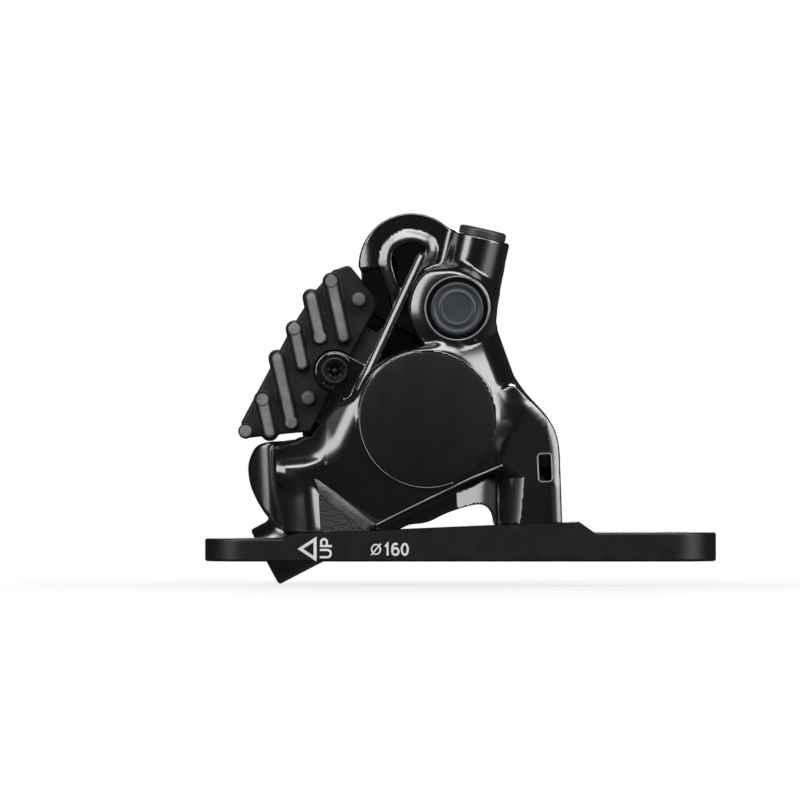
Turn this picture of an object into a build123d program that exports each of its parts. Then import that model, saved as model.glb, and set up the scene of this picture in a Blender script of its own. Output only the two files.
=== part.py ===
"""A flat-mount disc brake caliper on its mount bracket, with one STEP file for each piece.

The bracket lies along X with its underside at height zero, and its origin is midway between the two
fork bolts. The caliper has a frame of its own: x along its base, y from the rotor's middle plane
towards the wheel, z square to the base. It stands on the bracket's slightly sloping top.
Depth is the distance from the rotor's middle plane towards the outer side, so it grows along -y.
"""

import math
import os

from build123d import *

os.makedirs("parts", exist_ok=True)

# Gaps and overrun of cuts
overrun = 1.0
running_gap = 0.05
slide_gap = 0.3
skin_gap = 0.1

# Mount bracket
fork_bolt_spacing = 70.0
fork_hole_radius = 2.75
bracket_width = 15.0
left_end_height = 3.8
right_end_height = 4.8
seat_start_height = 4.5
seat_start_x = -27.7
seat_end_x = 19.7
step_run = 1.3
drop_run = 2.5
seat_slope = 2.5
bracket_edge_round = 0.4
bolt_web = 1.7

# Caliper bolts
caliper_x = -3.9
caliper_bolt_spacing = 34.0
bolt_radius = 2.45
bolt_hole_radius = 2.75
bolt_head_radius = 4.2
bolt_head_height = 2.6
bolt_grip = 8.0
bolt_socket_width = 4.0
bolt_socket_depth = 1.6
head_recess_radius = 4.4
thread_runout = 1.2

# Rotor, which the caliper leaves room for
rotor_offset = 13.0
rotor_reach = 72.5
rotor_radius = 80.0
rotor_clearance = 2.0
slot_half_width = 2.5
pad_angle = 30.5

# Body castings
caliper_width = 52.0
caliper_height = 52.0
piston_x = -0.9
piston_z = 18.0
wall_depth = 9.5
shoulder_depth = 17.6
leg_thickness = 13.0
leg_width = 10.4
loop_depth = 10.5
bevel_near_depth = 7.5
drum_wall = 0.85
drum_floor = 2.5
drum_edge_round = 1.4
disc_height = 0.3
face_drop = 10.0
right_face_drop = 34.0
hollow_depth = 4.5
near_lobe_depth = 4.5
body_edge_round = 0.9
leg_corner_round = 3.2

# Pad window and its ears
axle_reach = 17.4
lug_radius = 3.3

# Pistons and their seals
piston_radius = 11.0
piston_length = 9.5
piston_cup_radius = 7.6
piston_cup_depth = 6.0
piston_retraction = 0.3
chamber_depth = 1.05
piston_seal_width = 2.2
piston_seal_height = 1.1
piston_seal_place_share = 0.58

# Pads
pad_rest_gap = 1.15
lining_thickness = 2.0
plate_thickness = 1.8
lining_length = 20.0
lining_height = 18.5
lining_groove = 1.2
plate_length = 22.0
plate_tail = 9.9
ear_reach = 21.6
ear_upper_length = 14.4
ear_lower_length = 9.0
pad_corner_round = 2.0
ear_corner_round = 1.5

# Cooling fin of a pad
fin_thickness = 1.6
fin_start_reach = 16.3
fin_reach = 27.3
fin_half_length = 17.4
fin_corner_round = 0.7
rib_pitch = 3.87
rib_count = 6
rib_width = 1.35
rib_height = 1.7
rib_length = 11.0
rib_angle = 49.5
rib_first_offset = 10.57
rib_pin_radius = 1.08
rib_pin_height = 2.0
rivet_radius = 1.2
rivet_head_radius = 1.75
rivet_head_height = 0.9
rivet_pad_radius = 2.6

# Pad axle and its snap ring
axle_radius = 2.0
axle_head_radius = 2.3
axle_head_height = 2.2
axle_socket_width = 2.5
axle_socket_depth = 1.5
axle_pip_radius = 0.5
axle_tail = 1.6
snap_ring_radius = 2.9
snap_ring_thickness = 0.5
snap_groove_radius = 1.5

# Pad spring
spring_thickness = 0.4
spring_back_reach = 20.4
spring_foot_reach = 12.2
spring_half_length = 7.0
spring_leg_width = 3.0

# Bleed valve
valve_x = 4.9
valve_z = 36.3
valve_boss_radius = 7.5
valve_edge_round = 2.1
valve_depth = 17.0
valve_recess_radius = 5.0
valve_recess_depth = 1.2
valve_bore_radius = 3.3
valve_bore_end = 9.0
valve_screw_length = 4.6
valve_socket_width = 3.0
valve_socket_depth = 2.4
valve_seal_section = 0.6
cap_flange_radius = 4.4
cap_flange_height = 1.9
cap_groove_radius = 3.8
cap_groove_inner_radius = 2.7
cap_groove_depth = 0.35
cap_centre_radius = 2.45
cap_plug_length = 1.5

# Bleed nipple boss
boss_offset = 1.4
boss_tilt = 15.5
boss_radius = 4.3
boss_length = 12.1
boss_axis_depth = 9.8
nipple_well_radius = 3.2
nipple_well_depth = 5.0
nipple_flange_radius = 2.8
nipple_flange_height = 1.2
nipple_thread_radius = 2.0
nipple_stem_radius = 1.4
nipple_stem_length = 2.9
nipple_bore_radius = 0.6
nipple_seal_height = 0.4
nipple_cap_radius = 3.95
nipple_cap_height = 1.5
nipple_cap_round = 0.6
nipple_skirt_radius = 1.9
nipple_skirt_length = 2.4

# Hose boss
hose_radius = 5.25
hose_angle = 25.0
hose_mouth_x = -29.1
hose_mouth_z = -3.9
hose_axis_depth = 7.0
hose_boss_length = 17.0
hose_port_radius = 4.0
hose_port_depth = 9.0
hose_edge_chamfer = 0.5

# Body bolts and fluid passages
body_bolt_radius = 2.4
body_bolt_hole_radius = 2.5
body_bolt_head_radius = 4.0
body_bolt_head_height = 3.0
body_bolt_socket_width = 4.0
body_bolt_socket_depth = 1.8
body_bolt_seat = 10.5
body_bolt_reach = 8.0
body_bolt_spot_radius = 4.3
passage_radius = 0.6
crossover_seal_radius = 1.6
crossover_seal_section = 0.82

# Places on the castings, as shares of the caliper's width and height
lower_bolt_shares = (-0.447, 0.140)
upper_bolt_shares = (0.067, 0.849)
crossover_shares = (-0.345, 0.212)
wall_shares = [
    (-0.125, 0.000), (-0.092, 0.016), (-0.028, 0.018), (0.034, 0.050), (0.134, 0.075),
    (0.176, 0.050), (0.184, 0.000), (0.380, 0.000), (0.385, 0.285), (0.300, 0.385),
    (0.262, 0.480), (0.206, 0.665), (0.219, 0.735), (0.240, 0.840), (-0.120, 0.800),
    (-0.145, 0.680), (-0.205, 0.575), (-0.250, 0.465), (-0.255, 0.425), (-0.325, 0.408),
    (-0.389, 0.331), (-0.426, 0.297), (-0.518, 0.285), (-0.518, 0.130), (-0.486, 0.000),
]
wall_corner_shares = [
    0.008, 0.008, 0.008, 0.020, 0.050, 0.008, 0.002, 0.002, 0.060, 0.040, 0.100, 0.060, 0.100,
    0.010, 0.010, 0.040, 0.040, 0.020, 0.010, 0.020, 0.020, 0.020, 0.015, 0.030, 0.010,
]
far_lobe_shares = [
    (-0.470, 0.000), (-0.545, 0.062), (-0.606, 0.175), (-0.598, 0.245), (-0.557, 0.298),
    (-0.426, 0.302), (-0.380, 0.180), (-0.400, 0.020),
]
far_wall_shares = [
    (-0.125, 0.025), (-0.028, 0.030), (0.034, 0.055), (0.134, 0.080), (0.185, 0.090),
    (0.230, 0.220), (0.265, 0.400), (0.262, 0.480), (0.206, 0.665), (0.219, 0.735),
    (0.235, 0.850), (-0.120, 0.800), (-0.145, 0.680), (-0.205, 0.575), (-0.250, 0.465),
    (-0.255, 0.425), (-0.325, 0.408), (-0.389, 0.331), (-0.426, 0.297), (-0.480, 0.290),
    (-0.480, 0.030),
]
shoulder_shares = [
    (-0.165, 0.580), (-0.227, 0.452), (-0.282, 0.358), (-0.348, 0.255), (-0.429, 0.233),
    (-0.510, 0.231), (-0.510, 0.140), (-0.486, 0.130), (-0.486, 0.015), (-0.201, 0.015),
    (0.245, 0.188), (0.214, 0.273), (-0.017, 0.346),
]
shoulder_corner_share = 0.012
far_shoulder_shares = [
    (-0.165, 0.580), (-0.227, 0.452), (-0.282, 0.358), (-0.348, 0.285), (-0.429, 0.275),
    (-0.500, 0.260), (-0.530, 0.170), (-0.480, 0.050), (-0.201, 0.050), (0.190, 0.170),
    (0.200, 0.273), (-0.017, 0.346),
]
right_shoulder_shares = [
    (0.248, 0.190), (0.296, 0.250), (0.292, 0.388), (0.256, 0.502), (0.210, 0.654),
    (0.077, 0.635), (-0.017, 0.538), (-0.017, 0.346),
]
hollow_shares = [
    (-0.042, 0.812), (-0.165, 0.588), (-0.131, 0.538), (0.048, 0.538), (0.048, 0.635),
    (-0.019, 0.731),
]
bevel_front_shares = [
    (-0.234, 0.436), (-0.279, 0.358), (-0.348, 0.255), (-0.429, 0.233), (-0.510, 0.231),
    (-0.510, 0.190), (-0.430, 0.190), (-0.284, 0.246), (-0.180, 0.418),
]
bevel_back_shares = [
    (-0.252, 0.424), (-0.322, 0.406), (-0.386, 0.331), (-0.426, 0.295), (-0.510, 0.283),
    (-0.510, 0.190), (-0.430, 0.190), (-0.284, 0.246), (-0.180, 0.418),
]
loop_centre_shares = (-0.045, 0.840)
loop_radius = 8.9
loop_neck_shares = [(-0.215, 0.840), (-0.135, 0.800), (-0.115, 0.680), (0.100, 0.700), (0.125, 0.860)]
pocket_centre_shares = (-0.054, 0.867)
pocket_tip_shares = (-0.085, 0.772)
pocket_radius = 2.55
pocket_tip_radius = 0.5
pocket_near_depth = 1.5
rib_top_shares = (0.006, 0.893)
rib_bottom_shares = (-0.228, 0.445)
ridge_rib_width = 1.1
ridge_rib_depth = 13.0

# Legs, as shares of the leg's width from its bolt and of the caliper's height
right_leg_shares = [
    (-0.625, 0.000), (0.335, 0.000), (0.370, 0.285), (0.295, 0.326), (0.095, 0.363),
    (-0.185, 0.392), (-0.510, 0.200), (-0.655, 0.140),
]
left_leg_shares = [(-0.815, 0.000), (0.635, 0.000), (0.635, 0.090), (-0.015, 0.220), (-0.815, 0.220)]
leg_pocket_shares = [(-0.235, 0.128), (-0.235, -0.050), (0.885, -0.050), (0.530, 0.012)]
leg_pocket_depth = 3.0
key_window_width = 2.4
key_window_height = 4.3
key_window_offset = 1.3
key_window_corner_share = 0.2
key_window_z_share = 0.178

# Fin outline and its rivets, as shares of the fin's reach and half length
fin_shares = [
    (0.597, 0.630), (0.665, 0.695), (0.950, 1.000), (1.000, 0.860), (1.000, -0.170),
    (0.982, -0.570), (0.940, -0.850), (0.865, -0.965), (0.640, -0.815), (0.597, -0.745),
]
fin_room_shares = [
    (0.495, -0.700), (0.610, -0.900), (0.690, -1.070), (0.770, -0.995), (0.830, -1.030),
    (1.500, -1.600), (1.500, 1.250), (0.660, 0.740), (0.575, 0.660), (0.495, 0.000),
]
rivet_shares = [(0.712, -0.716), (0.703, 0.348)]
rib_start_shares = [0.914, 0.976, 0.976, 0.993, 0.945, 0.945]
rib_length_shares = [0.87, 0.62, 0.55, 1.00, 0.51, 0.00]
rib_pin_at_start = [True, False, True, False, True, True]

# Places that follow from the sizes above
seat_rise = math.tan(math.radians(seat_slope))
bracket_length = fork_bolt_spacing + bracket_width
seat_height = seat_start_height + (caliper_x - seat_start_x) * seat_rise
caliper_seat = Location((caliper_x, rotor_offset, seat_height), (0, -seat_slope, 0))
lining_back = pad_rest_gap + lining_thickness
plate_back = lining_back + plate_thickness
pocket_floor = plate_back + piston_retraction + 2 * skin_gap
window_half_length = plate_length / 2 + slide_gap + skin_gap
window_reach = plate_tail + slide_gap + skin_gap
lug_near_depth = pocket_floor + running_gap
lug_depth = wall_depth
bore_depth = plate_back + piston_length + chamber_depth
piston_bore_radius = piston_radius + running_gap
piston_seal_depth = plate_back + piston_length * piston_seal_place_share
drum_radius = piston_bore_radius + piston_seal_height + drum_wall
drum_depth = bore_depth + drum_floor
disc_radius = drum_radius - drum_edge_round - 2 * skin_gap
disc_face = drum_depth + disc_height
leg_near_depth = rotor_offset - leg_thickness / 2
leg_depth = rotor_offset + leg_thickness / 2
thread_hole_depth = bolt_grip + thread_runout
fin_notch_radius = lug_radius + 2 * slide_gap
nipple_thread_end = valve_bore_radius - 2 * skin_gap
axle_hole_radius = axle_radius + slide_gap
bolt_xs = (-caliper_bolt_spacing / 2, caliper_bolt_spacing / 2)
pad_frame = Pos(piston_x, piston_z) * Rot(0, 0, 180 - pad_angle)
pieces = {}


def along(depth):
    """The plane square to the pistons at a depth, looking from the outer side."""
    return Plane.XZ.offset(depth)


def slab(face, near, far):
    """A face carried from one depth out to another."""
    return extrude(along(near) * face, far - near)


def rod(x, z, radius, near, far):
    """A round bar along the pistons' direction, from one depth out to another."""
    return slab(Pos(x, z) * Circle(radius), near, far)


def on_body(share):
    """A place on the castings, from its shares of their width and height."""
    return share[0] * caliper_width, share[1] * caliper_height


def body_face(shares, corner_shares=shoulder_corner_share):
    """A closed outline through points given as shares, with its corners rounded."""
    if isinstance(corner_shares, list):
        radii = [share * caliper_width for share in corner_shares]
    else:
        radii = corner_shares * caliper_width
    points = [on_body(share) for share in shares]
    return make_face(FilletPolyline(*points, radius=radii, close=True).edges())


def body_face_sharp(shares):
    """A closed outline through points given as shares, with sharp corners."""
    return make_face(Polyline(*[on_body(share) for share in shares], close=True))


def leg_face(shares):
    """A leg's outline about its bolt, with its corners rounded."""
    points = [(share[0] * leg_width, share[1] * caliper_height) for share in shares]
    radius = shoulder_corner_share * caliper_width
    return make_face(FilletPolyline(*points, radius=radius, close=True).edges())


def hull_face(*circles):
    """The face that a tight band round some circles encloses."""
    return make_hull([edge for circle in circles for edge in circle.edges()])


def pad_place(reach, side):
    """A place in the caliper's frame, from its reach out of the piston's axis and its side place."""
    spot = (pad_frame * Pos(reach, side)).position
    return spot.X, spot.Y


def hexagon_bar(x, z, width, near, far):
    """A six-sided bar, the space that a key fills."""
    return slab(Pos(x, z) * RegularPolygon(width / 2, 6, major_radius=False), near, far)


axle_x, axle_z = pad_place(axle_reach, 0)
rotor_x, rotor_z = pad_place(-rotor_reach, 0)
lower_bolt = on_body(lower_bolt_shares)
upper_bolt = on_body(upper_bolt_shares)
crossover = on_body(crossover_shares)
boss_foot = Vector(valve_x + boss_offset, -boss_axis_depth, valve_z)
boss_direction = Vector(math.sin(math.radians(boss_tilt)), 0, math.cos(math.radians(boss_tilt)))
hose_mouth = Vector(hose_mouth_x, hose_axis_depth, hose_mouth_z)
hose_direction = Vector(math.cos(math.radians(hose_angle)), 0, math.sin(math.radians(hose_angle)))


def bar(start, direction, radius, begin, end):
    """A round bar along a direction, from one distance past its start to another."""
    return extrude(Plane(start + direction * begin, z_dir=direction) * Circle(radius), end - begin)


def bracket_top(x):
    """The height of the bracket's sloping seat above a place along it."""
    return seat_start_height + (x - seat_start_x) * seat_rise


def mount_bracket():
    """The long adapter: flat below, a sloping seat above, and two recesses for the caliper's bolts."""
    end_x = bracket_length / 2
    profile = [
        (-end_x, 0),
        (end_x, 0),
        (end_x, right_end_height),
        (seat_end_x + drop_run, right_end_height),
        (seat_end_x, bracket_top(seat_end_x)),
        (seat_start_x, seat_start_height),
        (seat_start_x - step_run, left_end_height),
        (-end_x, left_end_height),
    ]
    side = extrude(Plane.XZ * make_face(Polyline(*profile, close=True)), bracket_width / 2, both=True)
    plan = extrude(SlotCenterToCenter(fork_bolt_spacing, bracket_width), bracket_top(end_x))
    solid = plan & side
    ends = solid.edges().filter_by(GeomType.CIRCLE)
    solid = fillet(ends, bracket_edge_round)
    for x in (-fork_bolt_spacing / 2, fork_bolt_spacing / 2):
        solid -= Pos(x, 0) * Cylinder(fork_hole_radius, bracket_top(end_x) * 2 + overrun)
    recess_depth = bracket_top(end_x) + overrun
    for x in bolt_xs:
        foot = caliper_seat * Pos(x, -rotor_offset)
        solid -= foot * Cylinder(bolt_hole_radius, recess_depth * 2)
        recess = Cylinder(head_recess_radius, recess_depth, align=(Align.CENTER, Align.CENTER, Align.MAX))
        solid -= foot * Pos(0, 0, -bolt_web) * recess
    return solid


def caliper_bolts():
    """Two bolts that come up through the bracket into the legs, their heads hidden in its recesses."""
    bolts = []
    for x in bolt_xs:
        low = -bolt_web
        up = (Align.CENTER, Align.CENTER, Align.MIN)
        down = (Align.CENTER, Align.CENTER, Align.MAX)
        shank = Pos(0, 0, low) * Cylinder(bolt_radius, bolt_grip - low, align=up)
        head = Pos(0, 0, low) * Cylinder(bolt_head_radius, bolt_head_height, align=down)
        key = RegularPolygon(bolt_socket_width / 2, 6, major_radius=False)
        socket = Pos(0, 0, low - bolt_head_height) * extrude(key, bolt_socket_depth)
        bolts.append(Pos(x, -rotor_offset, 0) * (shank + head - socket))
    return bolts


def face_cone(drop):
    """The room under a cone round the drum, whose front falls from the disc's rim at an angle."""
    face_radius = disc_radius + skin_gap
    cone_depth = drum_depth - (caliper_width - face_radius) * math.tan(math.radians(drop))
    cone = Cone(
        caliper_width, face_radius, drum_depth - cone_depth, align=(Align.CENTER, Align.CENTER, Align.MIN)
    )
    return along(cone_depth).location * Pos(piston_x, piston_z) * cone


def body_shell(outline, shoulder_outline, corners):
    """The wall, shoulders, drum and loop that the two castings have in common."""
    wall = slab(body_face(outline, corners), 0, wall_depth)
    shoulder = slab(body_face(shoulder_outline), leg_near_depth, shoulder_depth) & face_cone(face_drop)
    right_block = slab(body_face(right_shoulder_shares), leg_near_depth, shoulder_depth)
    right_shoulder = right_block & face_cone(right_face_drop)
    drum = rod(piston_x, piston_z, drum_radius, slot_half_width, drum_depth)
    drum = fillet(drum.edges().sort_by(Axis.Y)[0], drum_edge_round)
    disc = rod(piston_x, piston_z, disc_radius, drum_depth, disc_face)
    loop = rod(*on_body(loop_centre_shares), loop_radius, 0, loop_depth)
    loop = fillet(loop.edges().sort_by(Axis.Y)[0], body_edge_round)
    neck = slab(body_face(loop_neck_shares), 0, loop_depth)
    hollow = slab(body_face(hollow_shares), hollow_depth, loop_depth + overrun)
    return (wall + loop + neck - hollow) + shoulder + right_shoulder + drum + disc


def pad_space():
    """The room for the rotor, the pads and the piston, taken out of a casting."""
    rotor_room = rod(rotor_x, rotor_z, rotor_radius + rotor_clearance, -overrun, slot_half_width)
    far = caliper_width
    window = pad_frame * Pos((far - window_reach) / 2, 0) * Rectangle(
        far + window_reach, 2 * window_half_length
    )
    window_room = slab(window, -overrun, pocket_floor)
    bore = rod(piston_x, piston_z, piston_bore_radius, slot_half_width, bore_depth)
    groove_radius = piston_bore_radius + piston_seal_height
    near = piston_seal_depth - piston_seal_width / 2 - running_gap
    groove = rod(piston_x, piston_z, groove_radius, near, near + piston_seal_width + 2 * running_gap)
    return rotor_room + window_room + bore + groove


def fin_room():
    """The room outside the window for the fins, taken out of a casting before its lug is added."""
    face = make_face(Polyline(*[on_fin(share) for share in fin_room_shares], close=True))
    return slab(pad_frame * face, -overrun, loop_depth + overrun)


def axle_lug(mouth_radius):
    """The ear beside the window that the pad axle passes through."""
    root = pad_frame * Pos(axle_reach - 2 * lug_radius, 0) * Circle(lug_radius)
    face = hull_face(root, Pos(axle_x, axle_z) * Circle(lug_radius))
    lug = slab(face, lug_near_depth, lug_depth)
    return lug - rod(axle_x, axle_z, mouth_radius, lug_near_depth - overrun, lug_depth + overrun)


def legs():
    """Both mounting legs, with their threaded holes, the coarse pocket and the small framed window."""
    left_x, right_x = bolt_xs
    left = slab(Pos(left_x, 0) * leg_face(left_leg_shares), leg_near_depth, shoulder_depth)
    plan_end = left_x + left_leg_shares[0][0] * leg_width
    plan_depth = shoulder_depth - leg_near_depth
    plan = Pos(plan_end + leg_width, -leg_near_depth - plan_depth / 2)
    plan *= RectangleRounded(2 * leg_width, plan_depth, leg_corner_round)
    left &= extrude(plan, caliper_height)
    right = slab(Pos(right_x, 0) * leg_face(right_leg_shares), leg_near_depth, leg_depth)
    solid = left + right
    floor = shoulder_depth - leg_pocket_depth
    pocket = slab(Pos(left_x, 0) * leg_face(leg_pocket_shares), floor, leg_depth)
    window = Pos(right_x + key_window_offset, key_window_z_share * caliper_height)
    corner_radius = key_window_width * key_window_corner_share
    window *= RectangleRounded(key_window_width, key_window_height, corner_radius)
    solid -= pocket
    solid -= slab(window, rotor_offset, leg_depth + overrun)
    return solid


def leg_threads():
    """The threaded holes for the caliper's bolts, bored up from the seat."""
    radius = bolt_radius + running_gap
    upright = (Align.CENTER, Align.CENTER, Align.MIN)
    hole = Cylinder(radius, thread_hole_depth + overrun, align=upright)
    return [Pos(x, -rotor_offset, -overrun) * hole for x in bolt_xs]


def passages():
    """The drilled ways for the fluid: bore to crossover, bore to valve, valve to nipple."""
    depth = bore_depth - passage_radius
    start = Vector(crossover[0], -depth, crossover[1])
    centre = Vector(piston_x, -depth, piston_z)
    valve = Vector(valve_x, -depth, valve_z)
    to_bore = centre - start
    to_valve = valve - centre
    ways = [rod(crossover[0], crossover[1], passage_radius, -overrun, depth + passage_radius)]
    ways.append(bar(start, to_bore.normalized(), passage_radius, 0, to_bore.length - piston_cup_radius))
    ways.append(bar(centre, to_valve.normalized(), passage_radius, piston_cup_radius, to_valve.length))
    return ways


def outer_half():
    """The casting nearest the viewer, which carries the legs, the valve boss and the nipple boss."""
    solid = body_shell(wall_shares, shoulder_shares, wall_corner_shares)
    bevel_front = along(shoulder_depth - body_edge_round) * body_face_sharp(bevel_front_shares)
    bevel_back = along(bevel_near_depth) * body_face_sharp(bevel_back_shares)
    solid += loft([bevel_back, bevel_front], ruled=True)
    top, bottom = on_body(rib_top_shares), on_body(rib_bottom_shares)
    rib_round = ridge_rib_width / 2
    rib = hull_face(Pos(*top) * Circle(rib_round), Pos(*bottom) * Circle(rib_round))
    solid += slab(rib, 0, ridge_rib_depth)
    solid += legs()
    boss = rod(valve_x, valve_z, valve_boss_radius, slot_half_width, valve_depth)
    solid += fillet(boss.edges().sort_by(Axis.Y)[0], valve_edge_round)
    solid += slab(body_face(far_lobe_shares), 0, near_lobe_depth)
    solid += bar(boss_foot, boss_direction, boss_radius, 0, boss_length)
    solid -= fin_room()
    solid += axle_lug(axle_radius + running_gap)
    solid -= pad_space()
    tip = Pos(*on_body(pocket_tip_shares)) * Circle(pocket_tip_radius)
    teardrop = hull_face(Pos(*on_body(pocket_centre_shares)) * Circle(pocket_radius), tip)
    solid -= slab(teardrop, pocket_near_depth, ridge_rib_depth + overrun)
    for hole in leg_threads() + passages():
        solid -= hole
    for x, z in (lower_bolt, upper_bolt):
        solid -= rod(x, z, body_bolt_hole_radius, -overrun, body_bolt_reach + overrun)
    groove_outer = crossover_seal_radius + crossover_seal_section / 2 + skin_gap
    groove_inner = crossover_seal_radius - crossover_seal_section / 2 - skin_gap
    groove = Pos(*crossover) * (Circle(groove_outer) - Circle(groove_inner))
    solid -= slab(groove, -overrun, crossover_seal_section + running_gap)
    recess_floor = valve_depth - valve_recess_depth
    solid -= rod(valve_x, valve_z, valve_recess_radius, recess_floor, valve_depth + overrun)
    solid -= rod(valve_x, valve_z, valve_bore_radius, valve_bore_end, valve_depth)
    well_start = boss_length - nipple_well_depth
    solid -= bar(boss_foot, boss_direction, nipple_well_radius, well_start, boss_length + overrun)
    thread_start = nipple_thread_end - overrun
    solid -= bar(boss_foot, boss_direction, nipple_thread_radius + running_gap, thread_start, boss_length)
    solid -= bar(boss_foot, boss_direction, passage_radius, 0, boss_length)
    cap_room = bar(boss_foot, boss_direction, nipple_cap_radius + skin_gap, boss_length, 2 * boss_length)
    solid -= cap_room
    return solid


def inner_half():
    """The casting on the wheel's side, with the hose boss and the heads of the body bolts."""
    solid = body_shell(far_wall_shares, far_shoulder_shares, shoulder_corner_share)
    solid += slab(body_face(far_lobe_shares), 0, wall_depth)
    solid -= fin_room()
    solid += axle_lug(axle_radius + running_gap)
    solid -= pad_space()
    solid = mirror(solid, about=Plane.XZ)
    boss = bar(hose_mouth, hose_direction, hose_radius, 0, hose_boss_length)
    boss = chamfer(boss.edges().sort_by(Axis.X)[0], hose_edge_chamfer)
    solid += boss
    solid -= bar(hose_mouth, hose_direction, hose_port_radius, -overrun, hose_port_depth)
    for x, z in (lower_bolt, upper_bolt):
        solid -= rod(x, z, body_bolt_hole_radius, -shoulder_depth, overrun)
        solid -= rod(x, z, body_bolt_spot_radius, -shoulder_depth - overrun, -body_bolt_seat)
    depth = bore_depth - passage_radius
    solid -= rod(crossover[0], crossover[1], passage_radius, -depth - passage_radius, overrun)
    start = Vector(crossover[0], depth, crossover[1])
    to_bore = Vector(piston_x, depth, piston_z) - start
    solid -= bar(start, to_bore.normalized(), passage_radius, 0, to_bore.length - piston_cup_radius)
    port_end = hose_mouth + hose_direction * (hose_port_depth - passage_radius)
    feed = Vector(crossover[0], hose_axis_depth, crossover[1]) - port_end
    solid -= bar(port_end, feed.normalized(), passage_radius, 0, feed.length)
    return solid


def body_bolts():
    """Two socket screws that clamp the halves, put in from the wheel's side."""
    bolts = []
    for x, z in (lower_bolt, upper_bolt):
        shank = rod(x, z, body_bolt_radius, -body_bolt_seat, body_bolt_reach)
        head_end = body_bolt_seat + body_bolt_head_height
        head = rod(x, z, body_bolt_head_radius, -head_end, -body_bolt_seat)
        socket_end = head_end - body_bolt_socket_depth
        socket = hexagon_bar(x, z, body_bolt_socket_width, -head_end, -socket_end)
        bolts.append(shank + head - socket)
    return bolts


def crossover_seal():
    """The ring that seals the fluid passage where the halves meet."""
    section = crossover_seal_section / 2
    ring = Torus(crossover_seal_radius, section)
    return along(section + running_gap / 2).location * Pos(*crossover) * ring


def piston():
    """A cup that is open towards the pad."""
    solid = rod(piston_x, piston_z, piston_radius, plate_back, plate_back + piston_length)
    cup_floor = plate_back + piston_cup_depth
    return solid - rod(piston_x, piston_z, piston_cup_radius, plate_back - overrun, cup_floor)


def piston_seal():
    """The square ring in its groove round the piston."""
    outer = piston_radius + piston_seal_height
    near = piston_seal_depth - piston_seal_width / 2
    face = Pos(piston_x, piston_z) * (Circle(outer) - Circle(piston_radius + running_gap))
    return slab(face, near, near + piston_seal_width)


def pad_plate():
    """The steel backing plate: a broad foot under the piston and an ear on the axle under the fin."""
    foot_length = axle_reach - lug_radius + plate_tail
    foot = Pos(foot_length / 2 - plate_tail, 0)
    foot *= RectangleRounded(foot_length, plate_length, pad_corner_round)
    ear_height = ear_reach - fin_start_reach
    neck_reach = ear_reach - ear_height / 2
    neck = Pos(neck_reach / 2, 0) * Rectangle(neck_reach, plate_length - 2 * pad_corner_round)
    ear_length = ear_upper_length + ear_lower_length
    ear_side = (ear_lower_length - ear_upper_length) / 2
    ear = Pos(ear_reach - ear_height / 2, ear_side)
    ear *= RectangleRounded(ear_height, ear_length, ear_corner_round)
    face = foot + neck + ear
    face -= Pos(axle_reach, 0) * Circle(axle_hole_radius)
    for place in rivet_places():
        face -= place * Circle(rivet_radius + running_gap)
    return slab(pad_frame * face, lining_back, plate_back)


def on_fin(share):
    """A place in the pad's frame, from its shares of the fin's reach and half length."""
    return share[0] * fin_reach, share[1] * fin_half_length


def rivet_places():
    """Where the two rivets stand in the pad's frame."""
    return [Pos(*on_fin(share)) for share in rivet_shares]


def pad_friction():
    """The lining, with its groove across the middle."""
    block = RectangleRounded(lining_height, lining_length, pad_corner_round)
    solid = slab(pad_frame * block, pad_rest_gap, lining_back)
    groove = pad_frame * Rectangle(lining_height + overrun, lining_groove)
    return solid - slab(groove, pad_rest_gap - overrun, lining_back - lining_groove / 2)


def pad_fin():
    """The ribbed cooling plate that lies on the ear and stands out of the window."""
    points = [on_fin(share) for share in fin_shares]
    plate = make_face(FilletPolyline(*points, radius=fin_corner_round, close=True).edges())
    notch = Pos(axle_reach, 0) * Circle(fin_notch_radius)
    notch += Pos(axle_reach / 2, 0) * Rectangle(axle_reach, 2 * fin_notch_radius)
    plate -= notch
    front = plate_back + fin_thickness
    solid = slab(pad_frame * plate, plate_back, front)
    across = math.radians(rib_angle)
    run = Vector(-math.cos(across), math.sin(across))
    for index in range(rib_count):
        offset = rib_first_offset + rib_pitch * index
        reach = rib_start_shares[index] * fin_reach
        start = Vector(reach, (offset - reach * math.sin(across)) / math.cos(across))
        end = start + run * (rib_length * rib_length_shares[index])
        begin_circle = Pos(start.X, start.Y) * Circle(rib_width / 2)
        if rib_length_shares[index] > 0:
            rib = hull_face(begin_circle, Pos(end.X, end.Y) * Circle(rib_width / 2))
            solid += slab(pad_frame * rib, front, front + rib_height)
        pin = start if rib_pin_at_start[index] else end
        solid += slab(pad_frame * Pos(pin.X, pin.Y) * Circle(rib_pin_radius), front, front + rib_pin_height)
    for place in rivet_places():
        solid += slab(pad_frame * place * Circle(rivet_pad_radius), front, front + rivet_head_height / 2)
        hole = pad_frame * place * Circle(rivet_radius + running_gap)
        solid -= slab(hole, plate_back - overrun, front + rivet_head_height)
    return solid


def fin_rivets():
    """The two rivets that hold the fin on the backing plate."""
    seat = plate_back + fin_thickness + rivet_head_height / 2
    rivets = []
    for place in rivet_places():
        shank = slab(pad_frame * place * Circle(rivet_radius), lining_back, seat)
        head = slab(pad_frame * place * Circle(rivet_head_radius), seat, seat + rivet_head_height)
        head = fillet(head.edges().sort_by(Axis.Y)[0], rivet_head_height / 2)
        rivets.append(shank + head)
    return rivets


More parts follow.
